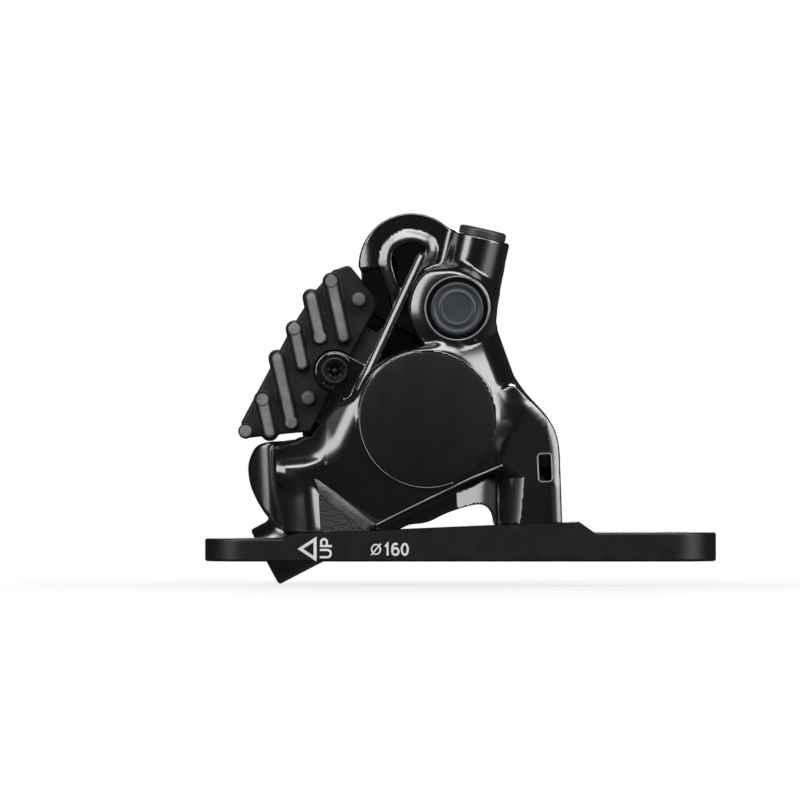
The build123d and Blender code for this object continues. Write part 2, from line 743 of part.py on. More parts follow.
def pad_spring():
    """A thin bent strip between the pads: a back round the axle's outer side and a leg on each plate."""
    gap = lining_back - running_gap
    legs_face = Rectangle(spring_back_reach - spring_foot_reach, spring_leg_width)
    middle = (spring_back_reach + spring_foot_reach) / 2
    back = Pos(spring_back_reach - spring_thickness / 2, 0) * Rectangle(
        spring_thickness, 2 * spring_half_length + spring_leg_width
    )
    solid = slab(pad_frame * back, -gap, gap)
    for side in (-spring_half_length, spring_half_length):
        leg = pad_frame * Pos(middle, side) * legs_face
        solid += slab(leg, gap - spring_thickness, gap)
        solid += slab(leg, -gap, spring_thickness - gap)
    return solid


def pad_axle():
    """The headed pin across the window that carries both pads."""
    tail = -lug_depth - snap_ring_thickness - axle_tail
    solid = rod(axle_x, axle_z, axle_radius, tail, lug_depth)
    head_face = lug_depth + axle_head_height
    head = rod(axle_x, axle_z, axle_head_radius, lug_depth, head_face)
    solid += head
    socket_floor = head_face - axle_socket_depth
    solid -= hexagon_bar(axle_x, axle_z, axle_socket_width, socket_floor, head_face + overrun)
    solid += rod(axle_x, axle_z, axle_pip_radius, socket_floor, head_face - axle_socket_depth / 2)
    ring = Pos(axle_x, axle_z) * (Circle(axle_radius + overrun) - Circle(snap_groove_radius))
    groove_near = -lug_depth - skin_gap - snap_ring_thickness - running_gap
    solid -= slab(ring, groove_near, -lug_depth - skin_gap + running_gap)
    return solid


def pad_axle_clip():
    """The open snap ring in the groove at the axle's tail."""
    face = Circle(snap_ring_radius) - Circle(snap_groove_radius + running_gap)
    mouth = Pos(snap_ring_radius, 0) * Rectangle(2 * snap_ring_radius, 2 * snap_groove_radius)
    face = Pos(axle_x, axle_z) * (face - mouth)
    near = -lug_depth - skin_gap - snap_ring_thickness
    return slab(face, near, near + snap_ring_thickness)


def bleed_valve_screw():
    """The socket screw that opens the bleed passage, with a neck for its seal."""
    far = valve_bore_end + valve_screw_length
    solid = rod(valve_x, valve_z, valve_bore_radius - running_gap, valve_bore_end + running_gap, far)
    neck = valve_bore_radius - valve_seal_section - running_gap
    ring = Pos(valve_x, valve_z) * (Circle(valve_bore_radius + overrun) - Circle(neck))
    near = valve_bore_end + valve_seal_section
    solid -= slab(ring, near, near + 2 * valve_seal_section)
    socket_floor = far - valve_socket_depth
    return solid - hexagon_bar(valve_x, valve_z, valve_socket_width, socket_floor, far + overrun)


def bleed_valve_seal():
    """The ring round the neck of the bleed screw."""
    section = (valve_seal_section - running_gap) / 2
    neck = valve_bore_radius - valve_seal_section - running_gap
    depth = valve_bore_end + 2 * valve_seal_section
    ring = Torus(neck + running_gap + section, section)
    return along(depth).location * Pos(valve_x, valve_z) * ring


def valve_dust_cap():
    """The ringed cap in the mouth of the valve's boss, with a plug that goes down its bore."""
    floor = valve_depth - valve_recess_depth
    front = floor + cap_flange_height
    solid = rod(valve_x, valve_z, cap_flange_radius, floor, front)
    ring = Pos(valve_x, valve_z) * (Circle(cap_groove_radius) - Circle(cap_groove_inner_radius))
    solid -= slab(ring, front - cap_groove_depth, front + overrun)
    dish = Pos(valve_x, valve_z) * Circle(cap_centre_radius)
    solid -= slab(dish, front - cap_groove_depth / 2, front + overrun)
    return solid + rod(valve_x, valve_z, valve_bore_radius - skin_gap, floor - cap_plug_length, floor)


def bleed_nipple():
    """The drilled nipple: thread, flange and stem, standing in the well of its boss."""
    seat = boss_length - nipple_well_depth + nipple_seal_height
    flange_top = seat + nipple_flange_height
    solid = bar(boss_foot, boss_direction, nipple_flange_radius, seat, flange_top)
    solid += bar(boss_foot, boss_direction, nipple_thread_radius, nipple_thread_end, seat)
    solid += bar(boss_foot, boss_direction, nipple_stem_radius, flange_top, flange_top + nipple_stem_length)
    return solid - bar(boss_foot, boss_direction, nipple_bore_radius, 0, boss_length + overrun)


def bleed_nipple_seal():
    """The washer under the nipple's flange."""
    well_floor = boss_length - nipple_well_depth
    top = well_floor + nipple_seal_height
    washer = bar(boss_foot, boss_direction, nipple_flange_radius, well_floor, top)
    return washer - bar(boss_foot, boss_direction, nipple_thread_radius + running_gap, 0, boss_length)


def bleed_nipple_cap():
    """The domed cap on the boss, with a skirt that goes down round the nipple's stem."""
    top = boss_length + nipple_cap_height
    solid = bar(boss_foot, boss_direction, nipple_cap_radius, boss_length, top)
    solid = fillet(solid.edges().sort_by(Axis.Z)[-1], nipple_cap_round)
    skirt_end = boss_length - nipple_skirt_length
    skirt = bar(boss_foot, boss_direction, nipple_well_radius - skin_gap, skirt_end, boss_length)
    return solid + (skirt - bar(boss_foot, boss_direction, nipple_skirt_radius, 0, boss_length))


def far_side(solid):
    """The same piece on the wheel's side of the rotor."""
    return mirror(solid, about=Plane.XZ)


def keep(name, *solids):
    """Sets pieces of the caliper in their place on the bracket, under one name."""
    placed = [caliper_seat * solid for solid in solids]
    pieces[name] = placed[0] if len(placed) == 1 else Compound(children=placed)


pieces["mount_bracket"] = mount_bracket()
keep("caliper_bolts", *caliper_bolts())
keep("outer_half", outer_half())
keep("inner_half", inner_half())
keep("body_bolts", *body_bolts())
keep("crossover_seal", crossover_seal())
keep("outer_piston", piston())
keep("inner_piston", far_side(piston()))
keep("outer_piston_seal", piston_seal())
keep("inner_piston_seal", far_side(piston_seal()))
keep("outer_pad_plate", pad_plate())
keep("inner_pad_plate", far_side(pad_plate()))
keep("outer_pad_friction", pad_friction())
keep("inner_pad_friction", far_side(pad_friction()))
keep("outer_pad_fin", pad_fin())
keep("inner_pad_fin", far_side(pad_fin()))
keep("outer_fin_rivets", *fin_rivets())
keep("inner_fin_rivets", *[far_side(rivet) for rivet in fin_rivets()])
keep("pad_spring", pad_spring())
keep("pad_axle", pad_axle())
keep("pad_axle_clip", pad_axle_clip())
keep("bleed_valve_screw", bleed_valve_screw())
keep("bleed_valve_seal", bleed_valve_seal())
keep("valve_dust_cap", valve_dust_cap())
keep("bleed_nipple", bleed_nipple())
keep("bleed_nipple_seal", bleed_nipple_seal())
keep("bleed_nipple_cap", bleed_nipple_cap())

for name, piece in pieces.items():
    export_step(piece, f"parts/{name}.step")
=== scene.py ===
"""The looks of a flat-mount disc brake caliper on its bracket.

Castings are worked out in the caliper's own frame, in millimetres: x along its base, z square to the
base, and depth away from the rotor's middle plane. The near casting's depth grows towards the viewer
and the far casting's towards the wheel. place() carries both into the frame's metres.
"""

import math

import bmesh
import bpy
import numpy as np
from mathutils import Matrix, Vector


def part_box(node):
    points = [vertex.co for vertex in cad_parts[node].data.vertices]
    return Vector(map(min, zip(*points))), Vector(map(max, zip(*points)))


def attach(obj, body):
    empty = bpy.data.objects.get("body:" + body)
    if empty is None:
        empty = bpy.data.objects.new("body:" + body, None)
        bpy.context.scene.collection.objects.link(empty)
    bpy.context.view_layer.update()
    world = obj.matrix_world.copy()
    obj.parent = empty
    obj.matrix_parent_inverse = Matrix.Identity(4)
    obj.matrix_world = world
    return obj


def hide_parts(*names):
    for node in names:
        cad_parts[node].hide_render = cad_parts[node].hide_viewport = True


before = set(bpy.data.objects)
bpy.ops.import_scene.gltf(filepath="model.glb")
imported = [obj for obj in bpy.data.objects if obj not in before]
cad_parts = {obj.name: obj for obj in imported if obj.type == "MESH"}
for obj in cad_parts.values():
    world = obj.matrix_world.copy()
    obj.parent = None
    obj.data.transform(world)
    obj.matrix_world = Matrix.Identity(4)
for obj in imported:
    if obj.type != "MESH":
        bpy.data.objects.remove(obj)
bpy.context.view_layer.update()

# The caliper's place on its bracket, in millimetres and degrees
seat_slope = math.radians(2.5)
caliper_x = -3.9
seat_height = 5.539
rotor_offset = 13.0

# Main places and sizes of the castings, in millimetres
piston = (-0.9, 18.0)
valve = (4.9, 36.3)
loop_centre = (-2.34, 43.68)
loop_radius = 8.85
leg_bolt_x = 17.0
wall_depth = 9.5
loop_depth = 10.5
drum_depth = 18.0
leg_depth = 19.5
disc_radius = 11.25
disc_rise = 0.3
recess_floor = 16.1
bar_top = (-0.6, 45.4)
bar_foot = (-11.9, 23.4)
bar_low = 12.6
bar_climb = 4.6
pad_angle = math.radians(149.5)
boss_tilt = math.radians(15.5)
boss_foot = (6.3, 9.8, 36.3)
boss_radius = 4.8
boss_length = 12.1
hose_turn = math.radians(65.0)
hose_mouth = (-29.1, 7.0, -3.9)
hose_radius = 5.2
rotor_distance = 72.5
rotor_room_radius = 82.0
bore_radius = 11.05
groove_radius = 12.15
axle_hole_radius = 2.05
valve_room_radius = 5.0
valve_bore_radius = 3.3
bolt_hole_radius = 2.5
bolt_spot_radius = 4.3

# Depths behind and in front of every form, between which a cut goes right through
behind = -3.0
beyond = 30.0

# How finely the castings are cut into facets, in millimetres
grain = 0.325
fin_grain = 0.16

# How far the print stands out of the bracket, and each mark in front of the one before it, in metres
print_rise = 0.00001
coat_rise = 0.000002


def place(points, side):
    """Caliper points (x, depth, z) in mm to frame metres: turned by the seat's slope, then moved."""
    x, depth, z = points[:, 0], points[:, 1], points[:, 2]
    turned_x = x * math.cos(seat_slope) - z * math.sin(seat_slope)
    turned_z = x * math.sin(seat_slope) + z * math.cos(seat_slope)
    y = rotor_offset + side * depth
    return np.column_stack([caliper_x + turned_x, y, seat_height + turned_z]) / 1000


def joined(a, b, reach):
    """The union of two shapes: the lesser distance, lowered by a parabola where both are in reach."""
    near = np.maximum(reach - np.abs(a - b), 0.0) / reach
    return np.minimum(a, b) - near * near * reach / 4


def common(a, b, reach):
    """What two shapes share, with its edge rounded over the reach."""
    return -joined(-a, -b, reach)


def cut(a, b, reach):
    """The first shape without the second, with its edge rounded over the reach."""
    return -joined(-a, b, reach)


def rounded(points, size, steps=5):
    """A closed outline whose corners are parabolas that start and end a given size from each corner."""
    corner = np.array(points, float)
    size = np.broadcast_to(size, len(corner))
    ends = []
    for other in (np.roll(corner, 1, 0), np.roll(corner, -1, 0)):
        run = other - corner
        share = np.minimum(size / np.hypot(run[:, 0], run[:, 1]), 0.48)
        ends.append(corner + run * share[:, None])
    t = np.linspace(0, 1, steps)[None, :, None]
    curve = ends[0][:, None] * (1 - t) ** 2 + 2 * corner[:, None] * t * (1 - t) + ends[1][:, None] * t**2
    return curve.reshape(-1, 2)


def outline(x, z, points):
    """Distance to a closed outline: the least to any side, negative inside by counting crossings."""
    far = np.full(np.broadcast(x, z).shape, np.inf)
    inside = np.zeros(far.shape, bool)
    for (ax, az), (bx, bz) in zip(points, np.roll(points, -1, 0)):
        ex, ez = bx - ax, bz - az
        length = ex * ex + ez * ez
        if length < 1e-12:
            continue
        t = np.clip(((x - ax) * ex + (z - az) * ez) / length, 0, 1)
        far = np.minimum(far, (x - ax - t * ex) ** 2 + (z - az - t * ez) ** 2)
        if az != bz:
            inside ^= ((az > z) != (bz > z)) & (x < ax + (z - az) * ex / ez)
    return np.where(inside, -1.0, 1.0) * np.sqrt(far)


def ease(share):
    """A smooth step from 0 to 1."""
    share = np.clip(share, 0, 1)
    return share * share * (3 - 2 * share)


def slab(flat, depth, near, far, edge):
    """A flat shape carried from one depth to another, its edges rounded by a quarter circle."""
    side = flat + edge
    end = np.abs(depth - (near + far) / 2) - (far - near) / 2 + edge
    inside = np.minimum(np.maximum(side, end), 0)
    return inside + np.hypot(np.maximum(side, 0), np.maximum(end, 0)) - edge


def round_at(x, z, centre, radius):
    """Distance to a circle in the plane."""
    return np.hypot(x - centre[0], z - centre[1]) - radius


def strip(x, z, a, b, width):
    """Distance to a straight band with round ends, and the share of the way along it."""
    ex, ez = b[0] - a[0], b[1] - a[1]
    t = np.clip(((x - a[0]) * ex + (z - a[1]) * ez) / (ex * ex + ez * ez), 0, 1)
    return np.hypot(x - a[0] - t * ex, z - a[1] - t * ez) - width / 2, t


def tilted_rod(x, depth, z, foot, turn, radius, start, end, edge):
    """A round bar in the plane of x and z, turned from z towards x, from one distance past its foot."""
    run = (x - foot[0]) * math.sin(turn) + (z - foot[2]) * math.cos(turn)
    off = (x - foot[0]) * math.cos(turn) - (z - foot[2]) * math.sin(turn)
    return slab(np.hypot(off, depth - foot[1]) - radius, run, start, end, edge)


def pad_axes(x, z):
    """Places along the pads: reach from the piston's axis, and side across it."""
    dx, dz = x - piston[0], z - piston[1]
    reach = dx * math.cos(pad_angle) + dz * math.sin(pad_angle)
    side = -dx * math.sin(pad_angle) + dz * math.cos(pad_angle)
    return reach, side


# Outlines of the near and far castings in millimetres
wall_points = rounded([
    (-6.5, 0.0), (-4.7, 0.8), (-1.5, 0.95), (1.8, 2.6), (7.6, 4.0), (9.3, 2.4), (9.6, 0.0),
    (19.8, 0.0), (20.0, 14.8), (15.4, 20.2), (13.3, 26.1), (10.7, 34.8), (12.4, 43.0), (-2.0, 43.5),
    (-7.2, 44.0), (-5.9, 38.2), (-5.9, 35.0), (-7.5, 32.7), (-10.7, 29.9), (-13.0, 24.2),
    (-13.6, 22.8), (-17.9, 21.6), (-21.2, 18.2), (-22.6, 15.6), (-26.9, 14.7), (-26.9, 7.0),
    (-25.3, 0.0),
], [
    0.5, 0.6, 1.5, 3.0, 2.5, 1.2, 0.3, 0.3, 5.0, 3.0, 6.0, 3.0, 0.5, 0.5, 0.5, 2.0, 1.5, 1.5, 1.5,
    0.6, 0.8, 1.0, 1.0, 1.2, 1.0, 3.0, 0.5,
])
shoulder_points = rounded([
    (-10.4, 0.6), (12.9, 9.9), (16.0, 15.0), (14.8, 21.4), (13.3, 26.1), (10.9, 34.0), (6.0, 33.0),
    (2.0, 30.6), (-5.0, 29.8), (-10.4, 26.6), (-13.2, 22.1), (-16.9, 21.2), (-20.2, 17.2),
    (-22.2, 15.4), (-26.9, 14.7), (-26.9, 7.0), (-25.3, 0.0),
], [0.3, 0.6, 2.0, 3.0, 6.0, 2.0, 2.0, 2.0, 3.0, 2.0, 0.8, 1.0, 1.0, 1.2, 1.0, 3.0, 0.5])
ridge_points = rounded([
    (0.4, 45.8), (-3.9, 38.0), (-7.5, 30.6), (-11.3, 23.1), (-13.9, 18.1), (-17.3, 11.4),
    (-23.5, 0.0), (-34.0, -20.0), (40.0, -20.0), (40.0, 45.8),
], [0.5, 2.0, 2.0, 2.0, 1.6, 2.0, 2.0, 2.0, 2.0, 2.0])
right_leg_points = rounded([
    (10.6, -3.0), (20.75, -3.0), (20.9, 14.6), (18.3, 18.9), (13.4, 23.5), (10.5, 18.0),
    (10.8, 9.0), (10.6, 3.0),
], [0.3, 0.3, 3.4, 3.4, 1.5, 3.0, 2.0, 1.0])
web_points = rounded([(-10.4, 0.6), (12.9, 9.9), (12.9, -1.0), (-10.4, -1.0)], 0.2)
back_wall_points = rounded(
    [(-5.0, 45.5), (-10.8, 44.3), (-10.8, 41.0), (-9.6, 37.0), (-8.0, 31.0), (-5.0, 31.0)], 0.5
)
far_web_points = rounded([
    (-4.0, 43.0), (-10.6, 42.6), (-10.6, 40.0), (-9.9, 36.0), (-11.5, 31.0), (-9.0, 28.0),
    (-4.0, 30.0),
], 0.5)
far_low_web_points = rounded(
    [(-16.0, 22.6), (-19.0, 20.4), (-21.8, 18.0), (-22.0, 14.0), (-15.0, 13.0)], 0.5
)
left_leg_points = rounded([(-25.4, 0.0), (-10.2, 0.0), (-12.0, 6.0), (-18.0, 12.0), (-25.4, 11.6)], 0.6)
recess_points = rounded([(-19.3, 7.7), (-19.2, -3.0), (-8.0, -3.0), (-11.4, 0.6)], 0.4)
hollow_points = rounded(
    [(-2.2, 42.2), (-8.6, 30.6), (-6.8, 28.0), (2.5, 28.0), (2.5, 33.0), (-1.0, 38.0)], 0.8
)
teardrop_points = rounded(
    [(-4.4, 40.0), (-5.8, 44.3), (-5.1, 46.9), (-2.2, 47.9), (0.2, 46.8), (-0.1, 45.7)],
    [0.3, 2.0, 2.0, 2.0, 1.0, 0.8],
)
neck_points = rounded(
    [(-7.2, 44.2), (-5.9, 37.8), (-4.2, 36.6), (1.0, 38.0), (2.0, 48.0), (-4.0, 50.0)], 0.6
)
window_points = rounded([(17.3, 7.05), (19.3, 7.05), (19.3, 11.45), (17.3, 11.45)], 0.45)
lobe_points = rounded([
    (-24.5, 0.3), (-27.7, 2.2), (-29.6, 5.1), (-31.0, 8.5), (-31.2, 12.0), (-29.7, 15.0),
    (-27.6, 15.5), (-22.5, 15.5), (-20.0, 9.0), (-20.8, 1.0),
], [0.8, 1.5, 1.5, 1.5, 1.5, 1.5, 1.0, 1.0, 1.0, 1.0])
far_wall_points = rounded([
    (-6.5, 1.3), (-1.5, 1.6), (1.8, 2.9), (7.0, 4.2), (9.6, 4.7), (12.0, 11.4), (13.6, 20.8),
    (13.4, 25.0), (10.6, 34.6), (11.4, 38.2), (12.2, 43.0), (-6.2, 43.6), (-5.9, 35.4),
    (-10.7, 29.9), (-13.0, 24.2), (-13.2, 22.1), (-16.9, 21.2), (-20.2, 17.2), (-22.2, 15.4),
    (-25.0, 15.1), (-25.0, 1.6),
], 1.5)

# The fin and the rooms for it, in shares of its reach and half its length
room_end_shares = [(1.5, -1.6), (1.5, 1.25), (0.66, 0.74), (0.575, 0.66), (0.495, 0.0)]
fin_room_shares = [
    (0.495, -0.7), (0.61, -0.9), (0.69, -1.07), (0.77, -0.995), (0.83, -1.03),
    *room_end_shares,
]
close_room_shares = [
    (0.495, -0.7), (0.6, -0.815), (0.64, -0.865), (0.8, -0.975), (0.86, -1.02),
    *room_end_shares,
]
fin_shares = [
    (0.597, 0.63), (0.665, 0.695), (0.95, 0.99), (0.99, 0.86), (0.99, -0.17),
    (0.972, -0.57), (0.93, -0.85), (0.865, -0.965), (0.64, -0.815), (0.597, -0.745),
]
fin_reach = 27.3
fin_half_length = 17.4
fin_room_points = np.array(fin_room_shares) * (fin_reach, fin_half_length)
close_room_points = np.array(close_room_shares) * (fin_reach, fin_half_length)
fin_points = rounded(np.array(fin_shares) * (fin_reach, fin_half_length), 0.8)

# The fin's ribs and heads, in millimetres and shares
rib_pitch = 3.87
rib_first_offset = 10.57
rib_slant = math.radians(49.5)
rib_length = 11.0
rib_start_shares = [0.914, 0.976, 0.976, 0.985, 0.945, 0.945]
rib_length_shares = [0.87, 0.62, 0.55, 1.00, 0.51, 0.00]
rib_head_at_start = [True, False, True, False, True, True]
rivet_shares = [(0.712, -0.716), (0.703, 0.348)]
fin_back = 4.95
fin_front = 6.55
rib_front = 8.25
head_front = 8.54
axle_reach = 17.4


def pad_space(x, depth, z):
    """The room for the rotor, the pads, the piston and the fins, as one distance."""
    reach, side = pad_axes(x, z)
    rotor = slab(np.hypot(reach + rotor_distance, side) - rotor_room_radius, depth, behind, 2.5, 0.0)
    window = np.maximum(-10.3 - reach, np.abs(side) - 11.4)
    window = slab(window, depth, behind, 5.45, 0.0)
    bore = slab(round_at(x, z, piston, bore_radius), depth, 0.0, 15.5, 0.0)
    groove = slab(round_at(x, z, piston, groove_radius), depth, 9.31, 11.61, 0.0)
    return np.minimum(np.minimum(rotor, window), np.minimum(bore, groove))


def fin_room(x, depth, z, points=fin_room_points):
    """The room outside the window for the fins."""
    reach, side = pad_axes(x, z)
    return slab(outline(reach, side, points), depth, behind, beyond, 0.0)


def axle_lug(x, depth, z):
    """The ear that the pad axle passes through, bored for it."""
    reach, side = pad_axes(x, z)
    ear, _ = strip(reach, side, (10.8, 0.0), (axle_reach, 0.0), 6.6)
    ear = slab(ear, depth, 5.5, 9.5, 0.25)
    return cut(ear, np.hypot(reach - axle_reach, side) - axle_hole_radius, 0.1)


def front_face(x, depth, z):
    """The shoulder's front: it falls from the disc's rim, gently at the left, steeply at the right."""
    dx, dz = x - piston[0], z - piston[1]
    radius = np.maximum(np.hypot(dx, dz), 1e-3)
    right = ease((dx / radius + 0.1) / 0.5)
    low = ease((-0.3 - dz / radius) / 0.6)
    slope = 0.09 + 0.4 * right * (1 - 0.5 * low)
    out = np.maximum(radius - disc_radius, 0)
    slope = slope + 0.09 * right * out
    height = drum_depth - (slope - 0.045 * right * out) * out
    edge = np.maximum(outline(x, z, wall_points) + 3.5, 0)
    edge = edge * ease((x - 5.0) / 3.0) * ease((z - 17.5) / 3.5)
    height = height - 0.25 * edge * edge
    end = np.maximum(-20.6 - x, 0) * (0.35 + 0.65 * ease((11.5 - z) / 5.5))
    height = height - 0.12 * np.minimum(end, 2) ** 2
    height = height - np.maximum(end - 2, 0) * (0.48 + 0.075 * (end - 2))
    slope = slope + 0.5 * edge + 0.2 * np.minimum(end, 4)
    return (depth - height) / np.sqrt(1 + slope * slope)


def right_leg(x, depth, z):
    """The right leg: its front leans back to the left and above, and its rim is chamfered."""
    rim = outline(x, z, right_leg_points)
    leg = slab(rim, depth, 6.5, leg_depth, 0.6)
    edge_x = 13.75 + 0.13 * z - 1.4 * np.maximum(z - 7.7, 0)
    off = np.maximum(edge_x - x, 0)
    front = leg_depth - 0.2 * np.maximum(18.9 - x, 0) - 0.12 * np.maximum(z - 6.0, 0)
    top = ease((z - 14.5) / 3.0) * ease((x - 13.6) / 2.4)
    rim = np.maximum(rim + 1.8, 0) * np.maximum(ease((x - 16.0) / 2.0), top)
    front = front - 0.2 * rim - 0.09 * rim * rim
    slant = (depth - front + 0.42 * off + 0.06 * off * off) / (1.08 + 0.06 * off + 0.1 * rim)
    return common(leg, slant, 0.3)


def top_loop(x, depth, z, hollow):
    """The loop above the castings and its neck, less the hollow beside the ridge bar."""
    loop = slab(round_at(x, z, loop_centre, loop_radius), depth, 0.0, loop_depth, 0.35)
    end = np.maximum(-7.4 - x, 0)
    loop = common(loop, (depth - loop_depth + 0.075 * end * end) / (1 + 0.07 * end), 0.3)
    below = (43.75 + (x + 7.2) * 0.12) - z
    loop = common(loop, np.where(x < -6.0, below, -6.0), 0.5)
    neck = outline(x, z, neck_points)
    loop = joined(loop, slab(neck, depth, 0.0, loop_depth, 0.8), 0.6)
    return cut(loop, hollow, 0.6)


def valve_boss(x, depth, z, wall_flat):
    """The rounded boss round the bleed valve, which falls more steeply on its right."""
    radius = round_at(x, z, valve, 0.0)
    aside = ease(((x - valve[0]) / np.maximum(radius, 1e-3) + 0.2) / 0.9)
    u = np.maximum(radius - 5.45, 0) * (1 + 2.2 * aside)
    boss = (depth - 17.0 + (0.22 - 0.12 * aside) * u + (0.08 + 0.08 * aside) * u * u) / (1.02 + 0.2 * u)
    boss = common(boss, np.maximum(8.0 - depth, radius - 8.1), 0.5)
    return common(boss, wall_flat, 1.2)


def near_casting(x, depth, z):
    """The near casting: wall, shoulder, drum, ridge, loop, bosses and legs, less its rooms and bores."""
    wall_flat = outline(x, z, wall_points)
    wall = slab(wall_flat, depth, 0.0, wall_depth, 0.9)
    hollow = slab(outline(x, z, hollow_points), depth, 4.5, beyond, 0.4)
    wall = cut(wall, hollow, 0.8)

    # The shoulder, bevelled beyond the ridge, the drum, and the web below them
    face = front_face(x, depth, z)
    ridge = joined(outline(x, z, ridge_points), z - 11.35, 3.5)
    left_share = ease((-17.5 - x) / 4.5)
    bevel = face + (0.66 + 0.36 * left_share) * ridge
    face = common(face, bevel / (1.2 + 0.22 * left_share), 1.1 + 0.9 * left_share)
    shoulder = slab(outline(x, z, shoulder_points), depth, 3.0, beyond, 0.3)
    shoulder = common(shoulder, face, 1.0)
    drum = round_at(x, z, piston, disc_radius + 0.05) - np.clip((drum_depth - depth) * 0.4, 0, 1.7)
    drum = common(drum, np.maximum(depth - drum_depth, 2.5 - depth), 0.3)
    body = joined(wall, shoulder, 0.6)
    web = np.maximum(outline(x, z, web_points), wall_flat)
    web = np.maximum(web, (depth - 15.2 + 0.47 * np.maximum(x - 3.5, 0)) / 1.1)
    body = joined(body, np.maximum(web, 2.0 - depth), 0.5)
    body = joined(body, drum, 0.6)
    body = np.where(depth > 15.0, np.maximum(body, depth - drum_depth), body)

    # The left leg, rounded in plan, with its corner recess
    left = slab(outline(x, z, left_leg_points), depth, 6.5, 17.4, 0.8)
    body = joined(body, common(left, face, 1.0), 0.8)
    plan_left = slab(np.abs(depth - 9.0) - 8.3, x, -27.2, 40.0, 1.6)
    body = np.where(x < -18.0, common(body, plan_left, 0.6), body)
    recess_flat = outline(x, z, recess_points)
    recess = np.maximum(recess_floor - depth, (recess_floor + 0.62 * recess_flat - depth) / 1.18)
    body = cut(body, recess, 0.6)

    # The right leg and its window
    body = joined(body, right_leg(x, depth, z), 0.9 + 1.4 * ease((z - 14.0) / 4.0))
    body = cut(body, slab(outline(x, z, window_points), depth, 13.0, beyond, 0.0), 0.08)

    # The loop, with a raised band round its teardrop pocket, and the ridge bar below it
    tear = outline(x, z, teardrop_points)
    body = joined(body, top_loop(x, depth, z, hollow), 0.5)
    rise = loop_depth + 0.75 * (1 - ((tear - 0.15) / 1.75) ** 2)
    band = np.maximum(np.maximum(tear - 1.95, 1.0 - depth), (depth - rise) / 1.15)
    body = joined(body, band, 0.5)
    body = cut(body, slab(tear, depth, 1.5, beyond, 0.0), 0.25)
    bar, along = strip(x, z, bar_top, bar_foot, 1.1)
    bar = np.maximum(np.maximum(bar, 1.0 - depth), depth - bar_low - bar_climb * along + 0.9)
    body = joined(body, bar, 0.3)

    # The bosses
    body = joined(body, valve_boss(x, depth, z, wall_flat), 0.9)
    nipple = tilted_rod(x, depth, z, boss_foot, boss_tilt, boss_radius, 0.0, boss_length, 0.35)
    body = joined(body, nipple, 1.8)

    # The rooms and bores
    body = cut(body, fin_room(x, depth, z, close_room_points), 0.3)
    back_wall = slab(outline(x, z, back_wall_points), depth, 0.0, 1.9, 0.3)
    body = joined(body, axle_lug(x, depth, z), 0.2)
    body = joined(body, back_wall, 0.3)
    body = cut(body, pad_space(x, depth, z), 0.15)
    body = cut(body, slab(round_at(x, z, valve, valve_room_radius), depth, 15.8, beyond, 0.0), 0.25)
    body = cut(body, slab(round_at(x, z, valve, valve_bore_radius), depth, 9.0, beyond, 0.0), 0.1)
    well = tilted_rod(x, depth, z, boss_foot, boss_tilt, 3.2, 7.1, beyond, 0.0)
    thread = tilted_rod(x, depth, z, boss_foot, boss_tilt, 2.05, 2.1, beyond, 0.0)
    body = cut(body, np.minimum(well, thread), 0.1)
    for bolt_x in (-leg_bolt_x, leg_bolt_x):
        hole = np.maximum(np.hypot(x - bolt_x, depth - rotor_offset) - bolt_hole_radius, z - 9.2)
        body = cut(body, hole, 0.1)

    # The lobe behind the left end
    lobe = slab(outline(x, z, lobe_points), depth, 0.0, 6.6, 0.8)
    u = np.maximum(-26.9 - x, 0)
    lobe = common(lobe, (depth - 6.6 + 0.25 * u + 0.1 * u * u) / (1.04 + 0.12 * u), 0.5)
    body = joined(body, cut(lobe, fin_room(x, depth, z), 0.3), 0.4)
    return np.maximum(body, -z)


def rib_places():
    """The start and end of each rib along the pads, from the pitch, slant and length that they share."""
    places = []
    for index, (start_share, share) in enumerate(zip(rib_start_shares, rib_length_shares)):
        reach = start_share * fin_reach
        offset = rib_first_offset + rib_pitch * index
        side = (offset - reach * math.sin(rib_slant)) / math.cos(rib_slant)
        run = rib_length * share
        end = (reach - run * math.cos(rib_slant), side + run * math.sin(rib_slant))
        places.append(((reach, side), end))
    return places


def fin(x, depth, z):
    """A fin: its plate, ribs that widen towards their roots, and a round head at one end of each."""
    reach, side = pad_axes(x, z)
    body = slab(outline(reach, side, fin_points), depth, fin_back, fin_front, 0.35)
    widen = np.clip(rib_front - depth, 0, 2.0) * 0.42
    for (start, end), share, first in zip(rib_places(), rib_length_shares, rib_head_at_start):
        if share > 0:
            flat, _ = strip(reach, side, start, end, 1.25)
            rib = common((flat - widen) / 1.08, np.maximum(depth - rib_front, 5.2 - depth), 0.25)
            body = joined(body, rib, 0.4)
        head = start if first else end
        stud = round_at(reach, side, head, 0.98) - widen * 0.35
        stud = common(stud, np.maximum(depth - head_front, 5.2 - depth), 0.25)
        body = joined(body, stud, 0.15)
    notch, _ = strip(reach, side, (0.0, 0.0), (axle_reach, 0.0), 7.1)
    return cut(body, notch, 0.1)


